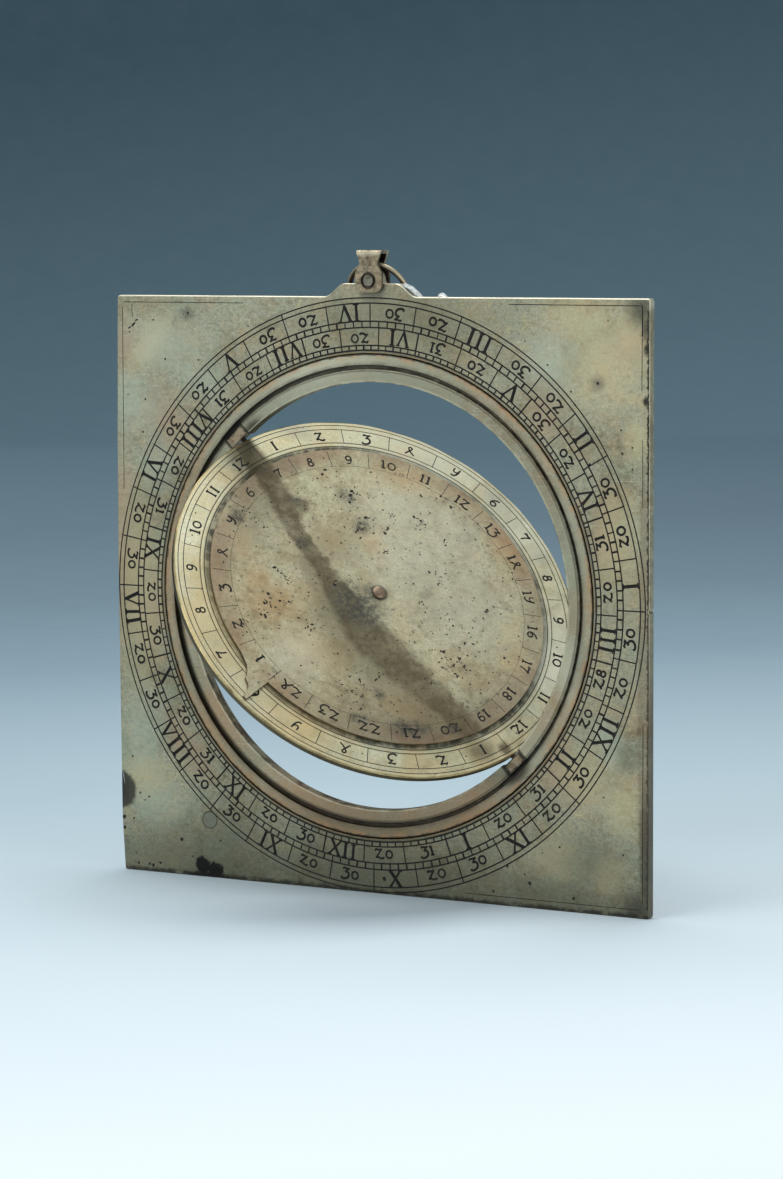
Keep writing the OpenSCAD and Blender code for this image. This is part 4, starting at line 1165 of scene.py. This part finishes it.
# stage, light and camera
# painted light and shade on the backdrop paper, pale in front and darker up the wall: its tone by its
# distance behind the dial and its height, in metres
PAPER_LIGHT_AND_SHADE = [(-0.2, (232, 243, 249)), (-0.07, (210, 225, 233)), (0.14, (174, 196, 206)), (0.38, (131, 156, 170)),
         (0.58, (114, 139, 153)), (0.86, (114, 140, 154)), (1.4, (134, 167, 181)), (1.83, (107, 138, 150)),
         (2.2, (76, 106, 120))]
PAPER_FROM, PAPER_TO = -0.2, 2.3
BEHIND = (-0.6943, 0.7621, 1.0)
FLOOR_HALF_W, FLOOR_FRONT, WALL_Y, WALL_H, BEND_R, SWEEP_TURN = 3.0, 1.6, 2.0, 2.4, 0.6, 28.3
MIDDLE = (0.0, 0.0, 0.06)


def studio():
    """A pale floor that bends up into a wall behind the dial."""
    g = Graph("studio_paper")
    coord = g.add("TexCoord").outputs["Object"]
    behind = g.span(g.vmath("DOT_PRODUCT", coord, BEHIND), PAPER_FROM, PAPER_TO, 0, 1, "LINEAR")
    stops = [((t - PAPER_FROM) / (PAPER_TO - PAPER_FROM), srgb(*c)) for t, c in PAPER_LIGHT_AND_SHADE]
    tone = g.ramp(behind, stops, "LINEAR")
    grain = g.times(g.noise(coord, 60, 3, 0.5), 0.05)
    g.shade(Base_Color=g.mix(grain, tone, (0.7, 0.75, 0.8)), Roughness=0.9)
    bend = [math.radians(90 * i / 24) for i in range(25)]
    profile = [(-FLOOR_FRONT, 0.0)]
    profile += [(WALL_Y - BEND_R + BEND_R * math.sin(a), BEND_R - BEND_R * math.cos(a)) for a in bend]
    profile.append((WALL_Y, WALL_H))
    turn = Matrix.Rotation(math.radians(SWEEP_TURN), 3, "Z")
    verts = [turn @ Vector((x, y, z)) for y, z in profile for x in (-FLOOR_HALF_W, FLOOR_HALF_W)]
    faces = [(2 * i, 2 * i + 1, 2 * i + 3, 2 * i + 2) for i in range(len(profile) - 1)]
    mesh = bpy.data.meshes.new("studio_sweep")
    mesh.from_pydata(verts, [], faces)
    mesh.materials.append(g.mat)
    for poly in mesh.polygons:
        poly.use_smooth = True
    link("studio_sweep", mesh)


def soft_box(name, place, size, power, colour):
    light = bpy.data.lights.new(name, "AREA")
    light.shape = "RECTANGLE"
    light.size, light.size_y = size
    light.energy = power
    light.color = colour
    box = link(name, light)
    box.location = place
    box.rotation_euler = (Vector(MIDDLE) - Vector(place)).to_track_quat("-Z", "Y").to_euler()


studio()
soft_box("top_light", (-0.15, 0.15, 1.1), (1.0, 0.9), 10.4, (1.0, 0.99, 0.97))
soft_box("left_light", (-0.5, -1.05, 0.6), (0.8, 0.9), 6.2, (0.97, 0.99, 1.0))
soft_box("right_light", (1.1, -0.4, 0.5), (0.6, 0.8), 4, (1.0, 0.98, 0.95))
world = bpy.data.worlds.new("soft_room")
world.use_nodes = True
world.node_tree.nodes["Background"].inputs[0].default_value = (0.72, 0.8, 0.88, 1)
world.node_tree.nodes["Background"].inputs[1].default_value = 0.35
bpy.context.scene.world = world
bpy.context.scene.view_settings.view_transform = "Standard"

# the photograph's camera, in metres
CAMERA_AT = (0.335859, -0.617944, 0.136530)
CAMERA_RIGHT = Vector((0.88080, 0.47345, -0.00567))
CAMERA_UP = Vector((-0.04524, 0.09607, 0.99435))
camera_data = bpy.data.cameras.new("camera")
camera_data.sensor_fit = "HORIZONTAL"
camera_data.sensor_width = 36.0
camera_data.lens = 162.45
camera_data.clip_start, camera_data.clip_end = 0.05, 20
camera = link("camera", camera_data)
axes = Matrix((CAMERA_RIGHT, CAMERA_UP, CAMERA_RIGHT.cross(CAMERA_UP))).transposed()
camera.matrix_world = Matrix.Translation(CAMERA_AT) @ axes.to_4x4()
bpy.context.scene.camera = camera
